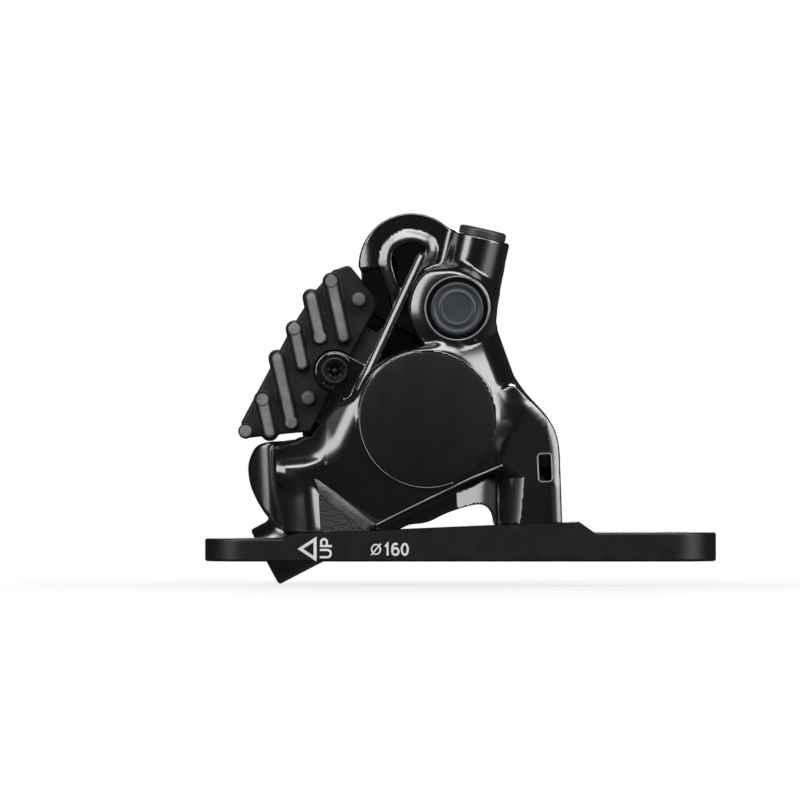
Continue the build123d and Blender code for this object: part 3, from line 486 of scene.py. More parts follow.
def far_casting(x, depth, z):
    """The far casting: wall, shoulder, drum, loop, lobe and hose boss, less its rooms and bores."""
    wall = slab(outline(x, z, far_wall_points), depth, 0.0, wall_depth, 0.9)
    lobe = slab(outline(x, z, lobe_points), depth, 0.0, wall_depth, 1.6)
    body = joined(wall, lobe, 1.0)
    face = front_face(x, depth, z)
    reach = outline(x, z, shoulder_points) + 1.2
    body = joined(body, common(slab(reach, depth, 3.0, beyond, 0.6), face, 2.2), 1.5)
    drum = slab(round_at(x, z, piston, 13.0), depth, 2.5, drum_depth, 1.6)
    body = joined(body, drum, 1.5)
    body = np.maximum(body, depth - drum_depth)
    loop = slab(round_at(x, z, loop_centre, loop_radius), depth, 0.0, loop_depth, 1.6)
    body = joined(body, np.where(x < -6.0, np.maximum(loop, 43.6 - z), loop), 1.5)
    body = cut(body, fin_room(x, depth, z), 0.4)
    web = np.minimum(outline(x, z, far_web_points), outline(x, z, far_low_web_points))
    body = joined(body, slab(web, depth, 9.3, 10.4, 0.3), 0.3)
    body = joined(body, axle_lug(x, depth, z), 0.3)
    body = cut(body, pad_space(x, depth, z), 0.15)
    boss = tilted_rod(x, depth, z, hose_mouth, hose_turn, hose_radius, 0.0, 17.0, 0.5)
    body = joined(body, boss, 1.2)
    port = tilted_rod(x, depth, z, hose_mouth, hose_turn, 4.0, -3.0, 9.0, 0.0)
    body = cut(body, port, 0.3)
    for bolt in ((-23.24, 7.28), (3.48, 44.15)):
        hole = slab(round_at(x, z, bolt, bolt_hole_radius), depth, behind, beyond, 0.0)
        spot = slab(round_at(x, z, bolt, bolt_spot_radius), depth, 10.5, beyond, 0.0)
        body = cut(body, np.minimum(hole, spot), 0.3)
    return body


def skin(distance, low, high, step):
    """The surface where a distance is zero.

    Each grid cell that it crosses gets one point, the mean of the crossings on the cell's edges, and
    each crossed grid edge joins the points of its four cells. Two steps along the distance's slope
    then bring the points onto the surface, and the slope there is the surface's direction.
    """
    axes = [np.arange(a, b + step, step) for a, b in zip(low, high)]
    value = distance(axes[0][:, None, None], axes[1][None, :, None], axes[2][None, None, :])
    inside = value < 0
    size = np.array(value.shape)
    corners = [(i, j, k) for i in (0, 1) for j in (0, 1) for k in (0, 1)]

    def shifted(array, corner):
        i, j, k = corner
        return array[i : i + size[0] - 1, j : j + size[1] - 1, k : k + size[2] - 1]

    count = sum(shifted(inside, corner).astype(np.int8) for corner in corners)
    active = (count > 0) & (count < 8)
    number = np.full(active.shape, -1)
    number[active] = np.arange(active.sum())
    total = np.zeros((active.sum(), 3))
    hits = np.zeros(active.sum())
    for start in corners:
        for axis in range(3):
            if start[axis]:
                continue
            end = list(start)
            end[axis] = 1
            a = shifted(value, start)[active]
            b = shifted(value, end)[active]
            crossed = (a < 0) != (b < 0)
            share = np.where(crossed, a / np.where(crossed, a - b, 1), 0)
            spot = np.tile(np.array(start, float), (len(a), 1))
            spot[:, axis] = share
            total += spot * crossed[:, None]
            hits += crossed
    points = np.argwhere(active) + total / hits[:, None]
    points = points * step + np.array([axis[0] for axis in axes])
    quads = []
    for axis in range(3):
        one, two = (axis + 1) % 3, (axis + 2) % 3
        first = [slice(1, -1)] * 3
        first[axis] = slice(0, -1)
        second = list(first)
        second[axis] = slice(1, None)
        a, b = inside[tuple(first)], inside[tuple(second)]
        edge = np.argwhere(a != b)
        outward = a[tuple(edge.T)]
        cell = edge.copy()
        cell[:, one] += 1
        cell[:, two] += 1
        around = []
        for back_one, back_two in ((1, 1), (0, 1), (0, 0), (1, 0)):
            spot = cell.copy()
            spot[:, one] -= back_one
            spot[:, two] -= back_two
            around.append(number[tuple(spot.T)])
        quad = np.column_stack(around)
        quad[~outward] = quad[~outward][:, ::-1]
        quads.append(quad)
    quads = np.vstack(quads)
    for _ in range(2):
        level, slope = slope_at(distance, points)
        move = level / np.maximum((slope**2).sum(1), 0.2)
        points -= slope * np.clip(move, -step, step)[:, None]
    _, slope = slope_at(distance, points)
    return points, quads, slope / np.linalg.norm(slope, axis=1)[:, None]


def slope_at(distance, points, reach=0.02):
    """The distance and its slope at points, from four probes at a small tetrahedron's corners."""
    probes = np.array([(1, 1, 1), (1, -1, -1), (-1, 1, -1), (-1, -1, 1)], float)
    level = np.zeros(len(points))
    slope = np.zeros((len(points), 3))
    for probe in probes:
        at = points + probe * reach
        found = distance(at[:, 0], at[:, 1], at[:, 2])
        level += found / 4
        slope += found[:, None] * probe / (4 * reach)
    return level, slope


def added(name, data):
    """A new object of the scene."""
    made = bpy.data.objects.new(name, data)
    bpy.context.scene.collection.objects.link(made)
    return made


def new_piece(name, points, faces, body, material, smooth=True):
    """A mesh object at the origin that rides on a body and takes the finish given to it."""
    mesh = bpy.data.meshes.new(name)
    mesh.from_pydata(np.asarray(points).tolist(), [], [list(face) for face in faces])
    mesh.polygons.foreach_set("use_smooth", np.full(len(mesh.polygons), smooth))
    mesh.update()
    mesh.materials.append(material)
    piece = added(name, mesh)
    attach(piece, body)
    return piece


def casting(
    name, distance, low, high, side, node, material, body="root", step=grain
):
    """A piece skinned from its distance, with the distance's slope as its shading direction."""
    points, quads, slope = skin(distance, low, high, step)
    if side < 0:
        quads = quads[:, ::-1]
    piece = new_piece(name, place(points, side), quads, body, material)
    turned = place(points + slope, side) - place(points, side)
    turned /= np.linalg.norm(turned, axis=1)[:, None]
    piece.data.normals_split_custom_set_from_vertices(turned.tolist())
    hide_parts(node)


def grid_faces(rows, columns, closed_rows=False, closed_columns=False):
    """Four-sided faces between the neighbouring points of a grid that is numbered row by row."""
    row = np.arange(rows if closed_rows else rows - 1)[:, None]
    here = np.arange(columns if closed_columns else columns - 1)[None]
    after = (here + 1) % columns
    onward = (row + 1) % rows * columns
    row = row * columns
    return np.stack([row + here, row + after, onward + after, onward + here], -1).reshape(-1, 4)


def turned(name, profile, feet, body, material, slot_name, replaced=(), sides=96, six_sided=()):
    """A profile of (radius, depth) points turned once round an axis along the depth, at each foot.

    The rows of the profile that six_sided names take the radius of a hexagon about that circle.
    """
    profile = np.array(profile, float)
    angle = np.arange(sides) * 2 * math.pi / sides
    radius, depth = (np.tile(profile[:, [column]], (1, sides)) for column in range(2))
    for row in six_sided:
        radius[row] /= np.cos((angle + math.pi / 6) % (math.pi / 3) - math.pi / 6)
    points = np.stack([radius * np.cos(angle), depth, -radius * np.sin(angle)], -1).reshape(-1, 3)
    feet = np.atleast_2d(np.array(feet, float))
    faces = grid_faces(len(profile), sides, closed_columns=True)
    faces = (faces[None] + len(points) * np.arange(len(feet))[:, None, None]).reshape(-1, 4)
    points = (feet[:, None] + points[None]).reshape(-1, 3)
    piece = new_piece(name, place(points, -1), faces, body, material)
    tidy_normals(piece)
    if replaced:
        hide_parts(*replaced)


def bead(name, path, radius, closed, material, sides=10):
    """A thin round bead along (x, depth, z) points: a circle square to the path at each of them."""
    path = np.array(path, float)
    if closed:
        run = np.roll(path, -1, 0) - np.roll(path, 1, 0)
    else:
        run = np.gradient(path, axis=0)
    run /= np.linalg.norm(run, axis=1)[:, None]
    out = np.cross(run, np.array([0.0, 1.0, 0.0]))
    out /= np.linalg.norm(out, axis=1)[:, None]
    up = np.cross(out, run)
    angle = np.arange(sides) * 2 * math.pi / sides
    ring = np.cos(angle)[None, :, None] * out[:, None] + np.sin(angle)[None, :, None] * up[:, None]
    points = (path[:, None] + radius * ring).reshape(-1, 3)
    faces = grid_faces(len(path), sides, closed, True).tolist()
    if not closed:
        faces += [list(range(sides)), list(range((len(path) - 1) * sides, len(path) * sides))]
    piece = new_piece(name, place(points, -1), faces, "root", material)
    tidy_normals(piece)


def seated(path, distance, outer=21.0, inner=4.0, step=0.02):
    """A path laid on a shape: at each place, the first depth inside it on the way inwards."""
    depth = np.arange(outer, inner, -step)
    column = distance(path[:, :1], depth[None], path[:, 1:])
    return np.insert(path, 1, depth[np.argmax(column < 0, axis=1)], axis=1)


def row_surface(name, rows, material):
    """A surface that goes from each row of (x, depth, z) points to the next, turned to the viewer."""
    faces = grid_faces(len(rows), len(rows[0]))
    piece = new_piece(name, place(np.vstack(rows), -1), faces, "root", material)
    face_viewer(piece)


def face_viewer(piece):
    """Turns each flat face of a piece towards the viewer, which is minus Y."""
    for polygon in piece.data.polygons:
        if polygon.normal.y > 0:
            polygon.flip()
    piece.data.update()


def ring_path(centre, radius, depth, start=0.0, end=360.0, count=120):
    """Points round a circle that faces the viewer, from one angle to another in degrees."""
    angle = np.radians(np.linspace(start, end, count, endpoint=abs(end - start) < 360))
    across = centre[0] + radius * np.cos(angle)
    return np.column_stack([across, np.full(count, depth), centre[1] + radius * np.sin(angle)])


def tidy_normals(piece):
    """Merges the points at poles and turns every face outwards."""
    bm = bmesh.new()
    bm.from_mesh(piece.data)
    bmesh.ops.remove_doubles(bm, verts=bm.verts, dist=1e-7)
    bmesh.ops.recalc_face_normals(bm, faces=bm.faces)
    bm.to_mesh(piece.data)
    bm.free()


def feed(tree, node, inputs):
    """Gives a node's inputs their values, or links them where a value is another node's output."""
    for name, value in inputs.items():
        if isinstance(value, bpy.types.NodeSocket):
            tree.links.new(value, node.inputs[name])
        else:
            node.inputs[name].default_value = value


def noise(tree, where, scale, detail):
    """A cloudy noise over the places given."""
    node = tree.nodes.new("ShaderNodeTexNoise")
    feed(tree, node, {"Vector": where, "Scale": scale, "Detail": detail})
    return node.outputs["Fac"]


def ranged(tree, value, start, end, low, high, run="LINEAR"):
    """A value carried from the range start to end onto the range low to high."""
    node = tree.nodes.new("ShaderNodeMapRange")
    node.interpolation_type = run
    feed(tree, node, {"Value": value, "From Min": start, "From Max": end, "To Min": low, "To Max": high})
    return node.outputs["Result"]


def mixed(tree, way, factor, one, two):
    """Two colours laid over each other in one of the mixing ways."""
    node = tree.nodes.new("ShaderNodeMix")
    node.data_type = "RGBA"
    node.blend_type = way
    feed(tree, node, {"Factor": factor, "A": one, "B": two})
    return node.outputs["Result"]


def paint(
    name, colour, roughness, metallic=0.0, bump=0.0, bump_scale=3000.0, bump_depth=0.0001, spread=0.05,
    colour_spread=0.15, coat=0.0, specular=0.5,
):
    """A finish whose colour and roughness vary a little over the surface, with a fine grain as bump."""
    material = bpy.data.materials.new(name)
    material.use_nodes = True
    tree = material.node_tree
    shader = tree.nodes["Principled BSDF"]
    where = tree.nodes.new("ShaderNodeTexCoord").outputs["Object"]
    cloud = noise(tree, where, cloud_scale, 4.0)
    ramp = tree.nodes.new("ShaderNodeValToRGB")
    shares = (1 - colour_spread, 1 + colour_spread)
    for element, position, share in zip(ramp.color_ramp.elements, (0.3, 0.7), shares):
        element.position = position
        element.color = (*[c * share for c in colour], 1)
    feed(tree, ramp, {"Fac": cloud})
    lowest = max(roughness - spread, 0.02)
    feed(tree, shader, {
        "Base Color": ramp.outputs["Color"],
        "Roughness": ranged(tree, cloud, 0.0, 1.0, lowest, roughness + spread),
        "Metallic": metallic,
        "Specular IOR Level": specular,
        "Coat Weight": coat,
        "Coat Roughness": roughness,
        "Coat IOR": coat_ior,
    })
    if bump:
        lift = tree.nodes.new("ShaderNodeBump")
        height = noise(tree, where, bump_scale, 3.0)
        feed(tree, lift, {"Strength": bump, "Distance": bump_depth, "Height": height})
        feed(tree, shader, {"Normal": lift.outputs["Normal"]})
    return material


def shaded_and_worn_by_depth(material, painted_shade_colour, worn_top_colour, low_depth, high_depth):
    """Tints a finish from one colour to another between two depths from the rotor's plane, in mm: the
    deep parts darker as painted shade, the raised tops lighter as wear.
    """
    tree = material.node_tree
    shader = tree.nodes["Principled BSDF"]
    base = shader.inputs["Base Color"].links[0].from_socket
    apart = tree.nodes.new("ShaderNodeSeparateXYZ")
    feed(tree, apart, {0: tree.nodes.new("ShaderNodeTexCoord").outputs["Object"]})
    start, end = (rotor_offset - low_depth) / 1000, (rotor_offset - high_depth) / 1000
    height = ranged(tree, apart.outputs["Y"], start, end, 0.0, 1.0, "SMOOTHSTEP")
    tone = mixed(tree, "MIX", height, (*painted_shade_colour, 1), (*worn_top_colour, 1))
    feed(tree, shader, {"Base Color": mixed(tree, "MULTIPLY", 1.0, tone, base)})


# Finishes
coat_ior = 1.85
cloud_scale = 350.0
gloss_black = paint(
    "gloss_black_paint", (0.0025, 0.0025, 0.0028), 0.2, bump=0.04, bump_scale=1500.0, coat=1.0,
    specular=0.8,
)
coarse_black = paint(
    "coarse_cast_black", (0.016, 0.016, 0.017), 0.36, bump=1.0, bump_scale=3200.0, bump_depth=0.0003
)
# Pale grey over a rough grain: a painted highlight on the recess's sloping bank
bank_highlight_grey = paint(
    "coarse_cast_bank_highlight", (0.11, 0.11, 0.112), 0.4, bump=1.0, bump_scale=3200.0, bump_depth=0.0003,
    colour_spread=0.5,
)
disc_black = paint(
    "satin_disc_black", (0.008, 0.008, 0.0084), 0.42, bump=0.45, bump_scale=5200.0, specular=0.2
)
bracket_black = paint("satin_bracket_coat", (0.0075, 0.0075, 0.0082), 0.4, bump=0.15, bump_scale=5000.0)
fin_black = paint("matte_fin_coat", (1.0, 1.0, 1.0), 0.6, bump=1.0, bump_scale=2600.0, colour_spread=0.3)
# On the fin, the plate between the ribs is darkened as painted shade, and the rib tops and heads are
# lightened as wear
shaded_and_worn_by_depth(fin_black, (0.009, 0.009, 0.0092), (0.16, 0.16, 0.163), low_depth=7.4, high_depth=8.3)
far_fin_black = paint("matte_far_fin_coat", (0.012, 0.012, 0.012), 0.6, bump=1.0, bump_scale=2600.0)
rivet_black = paint("rivet_coat", (0.09, 0.09, 0.092), 0.5, bump=0.6)
# Light grey metal for thin beads that paint highlights along edges
highlight_edge_grey = paint("painted_highlight_edge", (0.3, 0.3, 0.305), 0.3, metallic=0.7)
black_steel = paint("blackened_steel", (0.03, 0.03, 0.031), 0.3, metallic=0.6, bump=0.1)
dark_steel = paint("dark_steel", (0.09, 0.09, 0.095), 0.3, metallic=1.0, bump=0.1)
bright_steel = paint("spring_steel", (0.45, 0.45, 0.46), 0.28, metallic=1.0, bump=0.1)
plate_steel = paint("plate_steel", (0.12, 0.12, 0.125), 0.42, metallic=1.0, bump=0.3)
lining_brown = paint(
    "friction_lining", (0.09, 0.075, 0.065), 0.85, bump=1.0, bump_scale=1800.0, colour_spread=0.5
)
resin_grey = paint("piston_resin", (0.12, 0.12, 0.12), 0.5, bump=0.1)
rubber_black = paint("seal_rubber", (0.012, 0.012, 0.012), 0.55, bump=0.1)
cap_grey = paint("cap_blue_grey", (0.03, 0.034, 0.043), 0.42, bump=0.25, bump_scale=4000.0)
nipple_grey = paint("nipple_cap_grey", (0.03, 0.03, 0.032), 0.4, bump=0.2)
print_white = paint("white_print", (0.62, 0.62, 0.62), 0.6, bump=0.05)

# The nodes that keep their shape
for material, nodes in (
    (bracket_black, ["mount_bracket"]),
    (dark_steel, ["caliper_bolts", "body_bolts", "bleed_valve_screw", "bleed_nipple"]),
    (rubber_black, ["crossover_seal", "outer_piston_seal", "inner_piston_seal"]),
    (rubber_black, ["bleed_valve_seal", "bleed_nipple_seal"]),
    (resin_grey, ["outer_piston", "inner_piston"]),
    (plate_steel, ["outer_pad_plate", "inner_pad_plate"]),
    (lining_brown, ["outer_pad_friction", "inner_pad_friction"]),
    (far_fin_black, ["inner_pad_fin"]),
    (rivet_black, ["inner_fin_rivets"]),
    (bright_steel, ["pad_spring", "pad_axle_clip"]),
    (nipple_grey, ["bleed_nipple_cap"]),
):
    for node in nodes:
        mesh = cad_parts[node].data
        mesh.materials.clear()
        mesh.materials.append(material)

# The two castings and the near fin
casting(
    "near_half_casting", near_casting, (-33.0, -1.0, -1.0), (22.5, 21.5, 54.5), -1, "outer_half",
    gloss_black,
)
casting(
    "far_half_casting", far_casting, (-36.0, -1.0, -12.0), (15.5, 20.0, 54.5), 1, "inner_half",
    gloss_black,
)
casting(
    "near_fin", fin, (-33.0, 4.4, 15.6), (-7.8, 9.2, 45.0), -1, "outer_pad_fin", fin_black,
    "outer_pad", fin_grain,
)


def pad_foot(reach, side):
    """A place along the pads, back in the caliper's frame and on the rotor's plane."""
    x = piston[0] + reach * math.cos(pad_angle) - side * math.sin(pad_angle)
    return x, 0.0, piston[1] + reach * math.sin(pad_angle) + side * math.cos(pad_angle)


rivet_feet = [pad_foot(reach * fin_reach, side * fin_half_length) for reach, side in rivet_shares]
rivet_profile = [
    (0.001, 3.2), (0.85, 3.2), (0.85, 6.4), (1.25, 6.4), (1.12, 8.2), (0.92, 8.42), (0.6, 8.5),
    (0.001, 8.52),
]
turned(
    "near_fin_rivets", rivet_profile, rivet_feet, "outer_pad", rivet_black, "rivet_metal",
    ["outer_fin_rivets"], sides=48,
)

disc_profile = [
    (0.001, disc_rise), (disc_radius - 0.3, disc_rise), (disc_radius - 0.1, disc_rise - 0.08),
    (disc_radius, disc_rise - 0.25), (disc_radius, -0.1), (0.001, -0.1),
]
disc_foot = (piston[0], drum_depth, piston[1])
turned("drum_disc", disc_profile, disc_foot, "root", disc_black, "body_paint", sides=160)

cap_profile = [
    (0.001, 17.5), (2.3, 17.5), (2.42, 17.52), (2.6, 17.64), (2.75, 17.66), (2.9, 17.6), (3.1, 17.45),
    (3.5, 17.42), (3.65, 17.5), (3.8, 17.65), (4.0, 17.7), (4.2, 17.64), (4.4, 17.4), (4.4, 15.8),
    (2.9, 15.8), (2.9, 14.4), (0.001, 14.4),
]
valve_foot = (valve[0], 0.0, valve[1])
turned("valve_cap", cap_profile, valve_foot, "valve_cap", cap_grey, "cap_plastic", ["valve_dust_cap"])
axle_foot = pad_foot(axle_reach, 0.0)
axle_profile = [
    (0.001, -11.6), (1.7, -11.6), (1.95, -11.3), (1.95, -10.15), (1.55, -10.15), (1.55, -9.55),
    (1.95, -9.55), (1.95, 9.55), (2.3, 9.55), (2.3, 11.35), (2.12, 11.6), (1.95, 11.68), (1.8, 11.6),
    (1.7, 11.3), (1.25, 11.25), (1.2, 10.2), (0.5, 10.2), (0.48, 10.8), (0.3, 10.95), (0.001, 10.97),
]
socket_rows = (14, 15)
turned(
    "axle_pin", axle_profile, axle_foot, "root", black_steel, "bolt_steel", ["pad_axle"], sides=72,
    six_sided=socket_rows,
)

# Thin beads on the rim of the valve's room, light grey as a painted highlight, and round the left of the
# disc's edge in gloss black
valve_rim = ring_path(valve, radius=5.28, depth=17.0)
bead("valve_rim", valve_rim, 0.17, True, highlight_edge_grey)
disc_edge = ring_path(piston, disc_radius + 0.02, depth=18.1, start=92.0, end=290.0, count=140)
bead("disc_edge", disc_edge, 0.2, False, gloss_black)

# The corner recess: a rough flat bed, and a bank of four rows on the slope above it, pale grey as a
# painted highlight on its rough grain
bed_outline = rounded([(-19.4, 6.4), (-19.4, 0.1), (-10.9, 0.1)], 0.4)
bed_rise = 0.12
bed_count = len(bed_outline)
bed_flat = np.vstack([bed_outline.mean(0), bed_outline])
bed_points = place(np.insert(bed_flat, 1, recess_floor + bed_rise, axis=1), -1)
bed_faces = [(0, 1 + i, 1 + (i + 1) % bed_count) for i in range(bed_count)]
bed = new_piece("recess_bed", bed_points, bed_faces, "root", coarse_black, smooth=False)
face_viewer(bed)

bank_ends = [
    ((-20.2, 16.85, 9.5), (-9.7, 16.5, 1.15)),
    ((-19.9, 17.1, 8.7), (-10.5, 16.9, 1.0)),
    ((-19.6, 16.9, 7.8), (-11.2, 16.6, 0.8)),
    ((-19.3, 16.2, 6.5), (-12.2, 16.15, 0.3)),
]
bank_share = np.linspace(0, 1, 40)[:, None]
bank_rows = [np.array(a) * (1 - bank_share) + np.array(b) * bank_share for a, b in bank_ends]
row_surface("recess_bank", bank_rows, bank_highlight_grey)

# The ridge's crisp bar: a section of (across, drop) points carried down from the loop
bar_section = [
    (-0.68, -2.4), (-0.68, -0.12), (-0.55, 0.0), (-0.1, -0.16), (0.3, -0.36), (0.6, -0.6), (0.7, -0.85),
    (0.7, -2.4),
]
bar_share = np.linspace(0, 1, 50)
bar_run = np.array([bar_foot[0] - bar_top[0], bar_foot[1] - bar_top[1]])
bar_side = np.array([bar_run[1], -bar_run[0]]) / np.hypot(*bar_run)
bar_rows = []
for across, drop in bar_section:
    line = np.array(bar_top) + bar_run * bar_share[:, None] + bar_side * across
    height = bar_low + bar_climb * bar_share + drop
    bar_rows.append(np.insert(line, 1, height, axis=1))
row_surface("ridge_bar", bar_rows, gloss_black)

# Beads laid on the casting, light grey as painted highlights: the window's frame, and the crease between
# the web and the drum
frame_path = rounded([(17.15, 6.9), (19.45, 6.9), (19.45, 11.6), (17.15, 11.6)], 0.7, 7)
bead("window_frame", seated(frame_path, near_casting), 0.13, True, highlight_edge_grey)
crease = np.array([(-10.2, 0.9), (-6.0, 2.8), (-1.0, 5.0), (5.8, 7.95), (11.3, 9.95)])
steps = np.linspace(0, len(crease) - 1, 60)
corner = np.arange(len(crease))
crease = np.column_stack([np.interp(steps, corner, column) for column in crease.T])
bead("crease_line", seated(crease, near_casting), 0.16, False, highlight_edge_grey)

# Two short arcs of bright spring wire beside the axle's head, laid only where glints show: painted
# glints in the shape of a wire ring
for name, radius, start, end, count in (
    ("axle_glint_arc_upper", 2.85, 28.0, 112.0, 24),
    ("axle_glint_arc_lower", 2.75, 225.0, 262.0, 16),
):
    wire = ring_path(axle_foot[::2], radius, 9.55, start, end, count)
    bead(name, wire, 0.16, False, bright_steel)


def ribbon(path, width, closed=False):
    """A flat band along a path: its two edges stand half a width from it, mitred at the corners."""
    path = np.array(path, float)
    before = path - np.roll(path, 1, 0)
    after = np.roll(path, -1, 0) - path
    if not closed:
        before[0], after[-1] = after[0], before[-1]
    before /= np.linalg.norm(before, axis=1)[:, None]
    after /= np.linalg.norm(after, axis=1)[:, None]
    one = np.column_stack([-before[:, 1], before[:, 0]])
    two = np.column_stack([-after[:, 1], after[:, 0]])
    mitre = one + two
    mitre /= np.maximum((mitre * one).sum(1), 0.3)[:, None]
    edge = mitre * width / 2
    count = len(path)
    points = np.vstack([path - edge, path + edge])
    rows = count if closed else count - 1
    faces = [(i, (i + 1) % count, count + (i + 1) % count, count + i) for i in range(rows)]
    return points, faces


def arc(centre, across, up, start, end, count=14):
    """Points along part of an ellipse."""
    angle = np.radians(np.linspace(start, end, count))
    return np.column_stack([centre[0] + across * np.cos(angle), centre[1] + up * np.sin(angle)])


# Marks printed on the bracket, in millimetres of the picture's plane: an arrow head, UP and a size
arrow_stroke = 0.5
letter_stroke = 0.36
sign_stroke = 0.24
letters_left = -23.35
letter_height = 2.0
figures_left = -12.75
figures_foot = 1.05
sign_centre = (-14.05, 2.04)

marks = [(np.array([(-26.6, 2.12), (-24.15, 3.7), (-24.15, 0.5)]), arrow_stroke, True)]
letter_u = np.vstack([[(0.25, 2.0)], arc((0.85, 0.75), 0.6, 0.55, 180, 360), [(1.45, 2.0)]])
letter_p = np.vstack([
    [(0.25, 0.0), (0.25, 1.8)], [(0.9, 1.8)], arc((0.9, 1.32), 0.5, 0.48, 88, -88, 10), [(0.44, 0.84)],
])
for letter, start in ((letter_u, 0.5), (letter_p, 2.35)):
    spun = np.column_stack([letters_left + letter_height - letter[:, 1], start + letter[:, 0]])
    marks.append((spun, letter_stroke, False))
figure_one = np.array([(0.2, 1.45), (0.62, 1.95), (0.62, 0.0)])
six_stem = np.vstack([arc((0.72, 1.1), 0.52, 0.84, 50, 180, 12), [(0.2, 0.7)]])
six_bowl = arc((0.72, 0.64), 0.52, 0.56, 0, 345, 24)
figure_nought = arc((0.72, 0.99), 0.5, 0.9, 0, 345, 24)
for figure, step, closed in (
    (figure_one, 0.0, False), (six_stem, 1.2, False), (six_bowl, 1.2, True), (figure_nought, 2.75, True),
):
    marks.append((figure + (figures_left + step, figures_foot), letter_stroke, closed))
marks.append((arc(sign_centre, 0.72, 0.8, 0, 345, 24), sign_stroke, True))
marks.append((np.array([(-14.85, 1.1), (-13.25, 2.98)]), sign_stroke, False))
mark_points, mark_faces = [], []
for path, width, closed in marks:
    points, faces = ribbon(path, width, closed)
    start = sum(len(group) for group in mark_points)
    mark_faces += [[start + corner for corner in face] for face in faces]
    rise = print_rise + coat_rise * len(mark_points)
    mark_points.append(np.column_stack([points / 1000, np.full(len(points), rise)]))
points = np.vstack(mark_points)[:, [0, 2, 1]]
points[:, 1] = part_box("mount_bracket")[0][1] - points[:, 1]
print_piece = new_piece(
    "bracket_print", points, mark_faces, "root", print_white, smooth=False
)
face_viewer(print_piece)

# The studio: a pale floor, soft lights at both sides, above and behind, and a dim world
camera_distance = 2.0
view_width = 0.1331
view_x = -0.01007
view_height = 0.0268
floor_height = -0.0042
floor_half = 3.0
floor_grey = (0.6, 0.6, 0.6, 1)
floor_gloss_share = 0.04
# Middle of a pool on the floor that glows as white in gloss: a painted reflection source, not a lamp
floor_glow_pool = (0.26, -0.24, floor_height)
world_grey = (0.02, 0.02, 0.021, 1)
plain_white = (1, 1, 1, 1)
object_middle = (0.0, 0.0, 0.025)


def worked_out(tree, operation, one, two):
    """The sum, product or the like of two numbers."""
    node = tree.nodes.new("ShaderNodeMath")
    node.operation = operation
    feed(tree, node, {0: one, 1: two})
    return node.outputs[0]


def distance_to(tree, where, place_at):
    """How far a place is from one point, in metres."""
    node = tree.nodes.new("ShaderNodeVectorMath")
    node.operation = "DISTANCE"
    feed(tree, node, {0: where, 1: place_at})
    return node.outputs["Value"]


def show(tree, share, one, two, end):
    """Sends two shaders to a tree's end, the second by a share and the first by the rest."""
    mix = tree.nodes.new("ShaderNodeMixShader")
    feed(tree, mix, {"Fac": share, 1: one.outputs[0], 2: two.outputs[0]})
    feed(tree, tree.nodes[end], {"Surface": mix.outputs[0]})


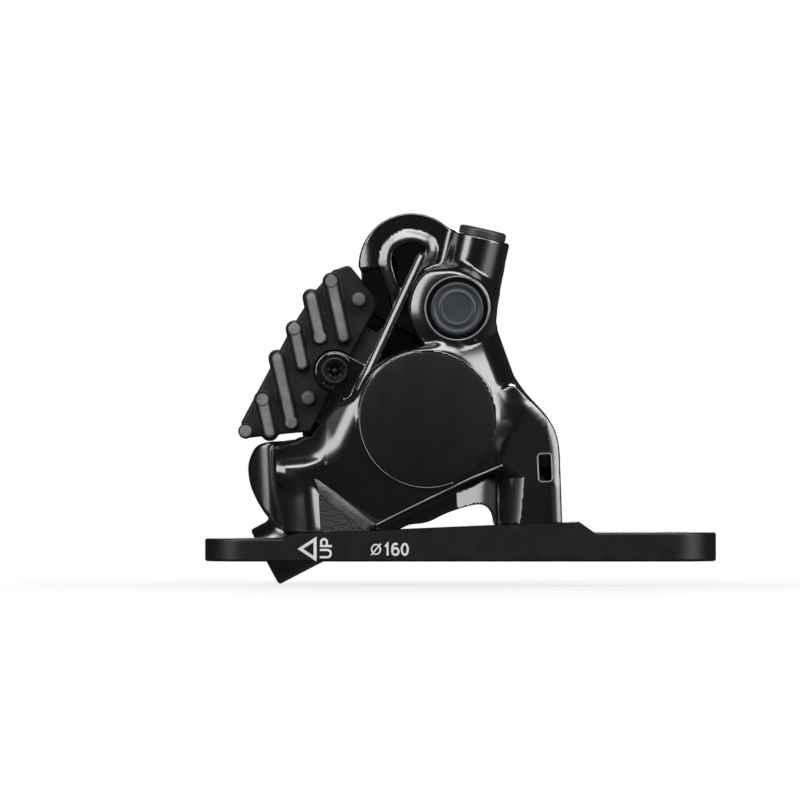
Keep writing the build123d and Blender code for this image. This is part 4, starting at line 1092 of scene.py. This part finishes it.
def pale_floor():
    """A pale matte floor that shows as plain white away from the object and keeps its shadow near it.

    To gloss it shows as a dim white, as the dark studio round a glossy black product does, and it glows
    as bright as white in a pool towards the right: a painted reflection source for glossy faces turned
    down and to the right.
    """
    material = bpy.data.materials.new("pale_floor")
    material.use_nodes = True
    tree = material.node_tree
    tree.nodes.remove(tree.nodes["Principled BSDF"])
    seen = tree.nodes.new("ShaderNodeLightPath").outputs
    spot = tree.nodes.new("ShaderNodeTexCoord").outputs["Object"]
    # In gloss the floor glows as white round the pool and dims away from it: a painted reflection
    from_pool = distance_to(tree, spot, floor_glow_pool)
    in_gloss = ranged(tree, from_pool, 0.08, 0.24, 1.0, floor_gloss_share, "SMOOTHSTEP")
    strength = ranged(tree, seen["Is Glossy Ray"], 0.0, 1.0, 1.0, in_gloss)
    fade = ranged(tree, distance_to(tree, spot, (0, 0, 0)), 0.02, 0.11, 0.8, 1.0, "SMOOTHSTEP")
    white = worked_out(tree, "MULTIPLY", seen["Is Camera Ray"], fade)
    white = worked_out(tree, "MAXIMUM", white, seen["Is Glossy Ray"])
    white = worked_out(tree, "MAXIMUM", white, seen["Is Transmission Ray"])
    matte = tree.nodes.new("ShaderNodeBsdfDiffuse")
    feed(tree, matte, {"Color": floor_grey})
    glow = tree.nodes.new("ShaderNodeEmission")
    feed(tree, glow, {"Color": plain_white, "Strength": strength})
    show(tree, white, matte, glow, "Material Output")
    return material


def lamp(name, place_at, size, power):
    """A soft rectangular light that faces the middle of the object, at a place, size and power."""
    light = bpy.data.lights.new(name, "AREA")
    light.shape = "RECTANGLE"
    light.size, light.size_y = size
    light.energy = power
    box = added(name, light)
    box.location = place_at
    aim = Vector(object_middle) - Vector(place_at)
    box.rotation_euler = aim.to_track_quat("-Z", "Y").to_euler()


floor_corners = [
    (x * floor_half, y * floor_half, floor_height) for x, y in ((-1, -1), (1, -1), (1, 1), (-1, 1))
]
floor_mesh = bpy.data.meshes.new("studio_floor")
floor_mesh.from_pydata(floor_corners, [], [(0, 1, 2, 3)])
floor_mesh.materials.append(pale_floor())
plane = added("studio_floor", floor_mesh)

lamp("right_box", (0.6, -0.39, 0.26), (0.46, 0.9), 5.4)
lamp("left_box", (-0.58, -0.44, 0.26), (0.34, 0.8), 3.3)
lamp("top_box", (-0.05, -0.46, 0.62), (0.7, 0.28), 3.3)
lamp("back_box", (0.0, 0.8, 0.42), (0.26, 0.5), 1.6)

# The world is white to the camera and through glass, and its own dim grey in gloss
world = bpy.data.worlds.new("studio")
bpy.context.scene.world = world
world.use_nodes = True
tree = world.node_tree
seen = tree.nodes.new("ShaderNodeLightPath").outputs
white = worked_out(tree, "MAXIMUM", seen["Is Camera Ray"], seen["Is Transmission Ray"])
dim_world = tree.nodes["Background"]
feed(tree, dim_world, {"Color": world_grey})
white_world = tree.nodes.new("ShaderNodeBackground")
feed(tree, white_world, {"Color": plain_white})
show(tree, white, dim_world, white_world, "World Output")

camera_data = bpy.data.cameras.new("camera")
camera_data.sensor_width = 36.0
camera_data.lens = camera_data.sensor_width * camera_distance / view_width
camera_data.clip_end = 10.0
camera = added("camera", camera_data)
camera.location = (view_x, -camera_distance, view_height)
camera.rotation_euler = (math.radians(90.0), 0, 0)
bpy.context.scene.camera = camera
bpy.context.scene.view_settings.view_transform = "Standard"
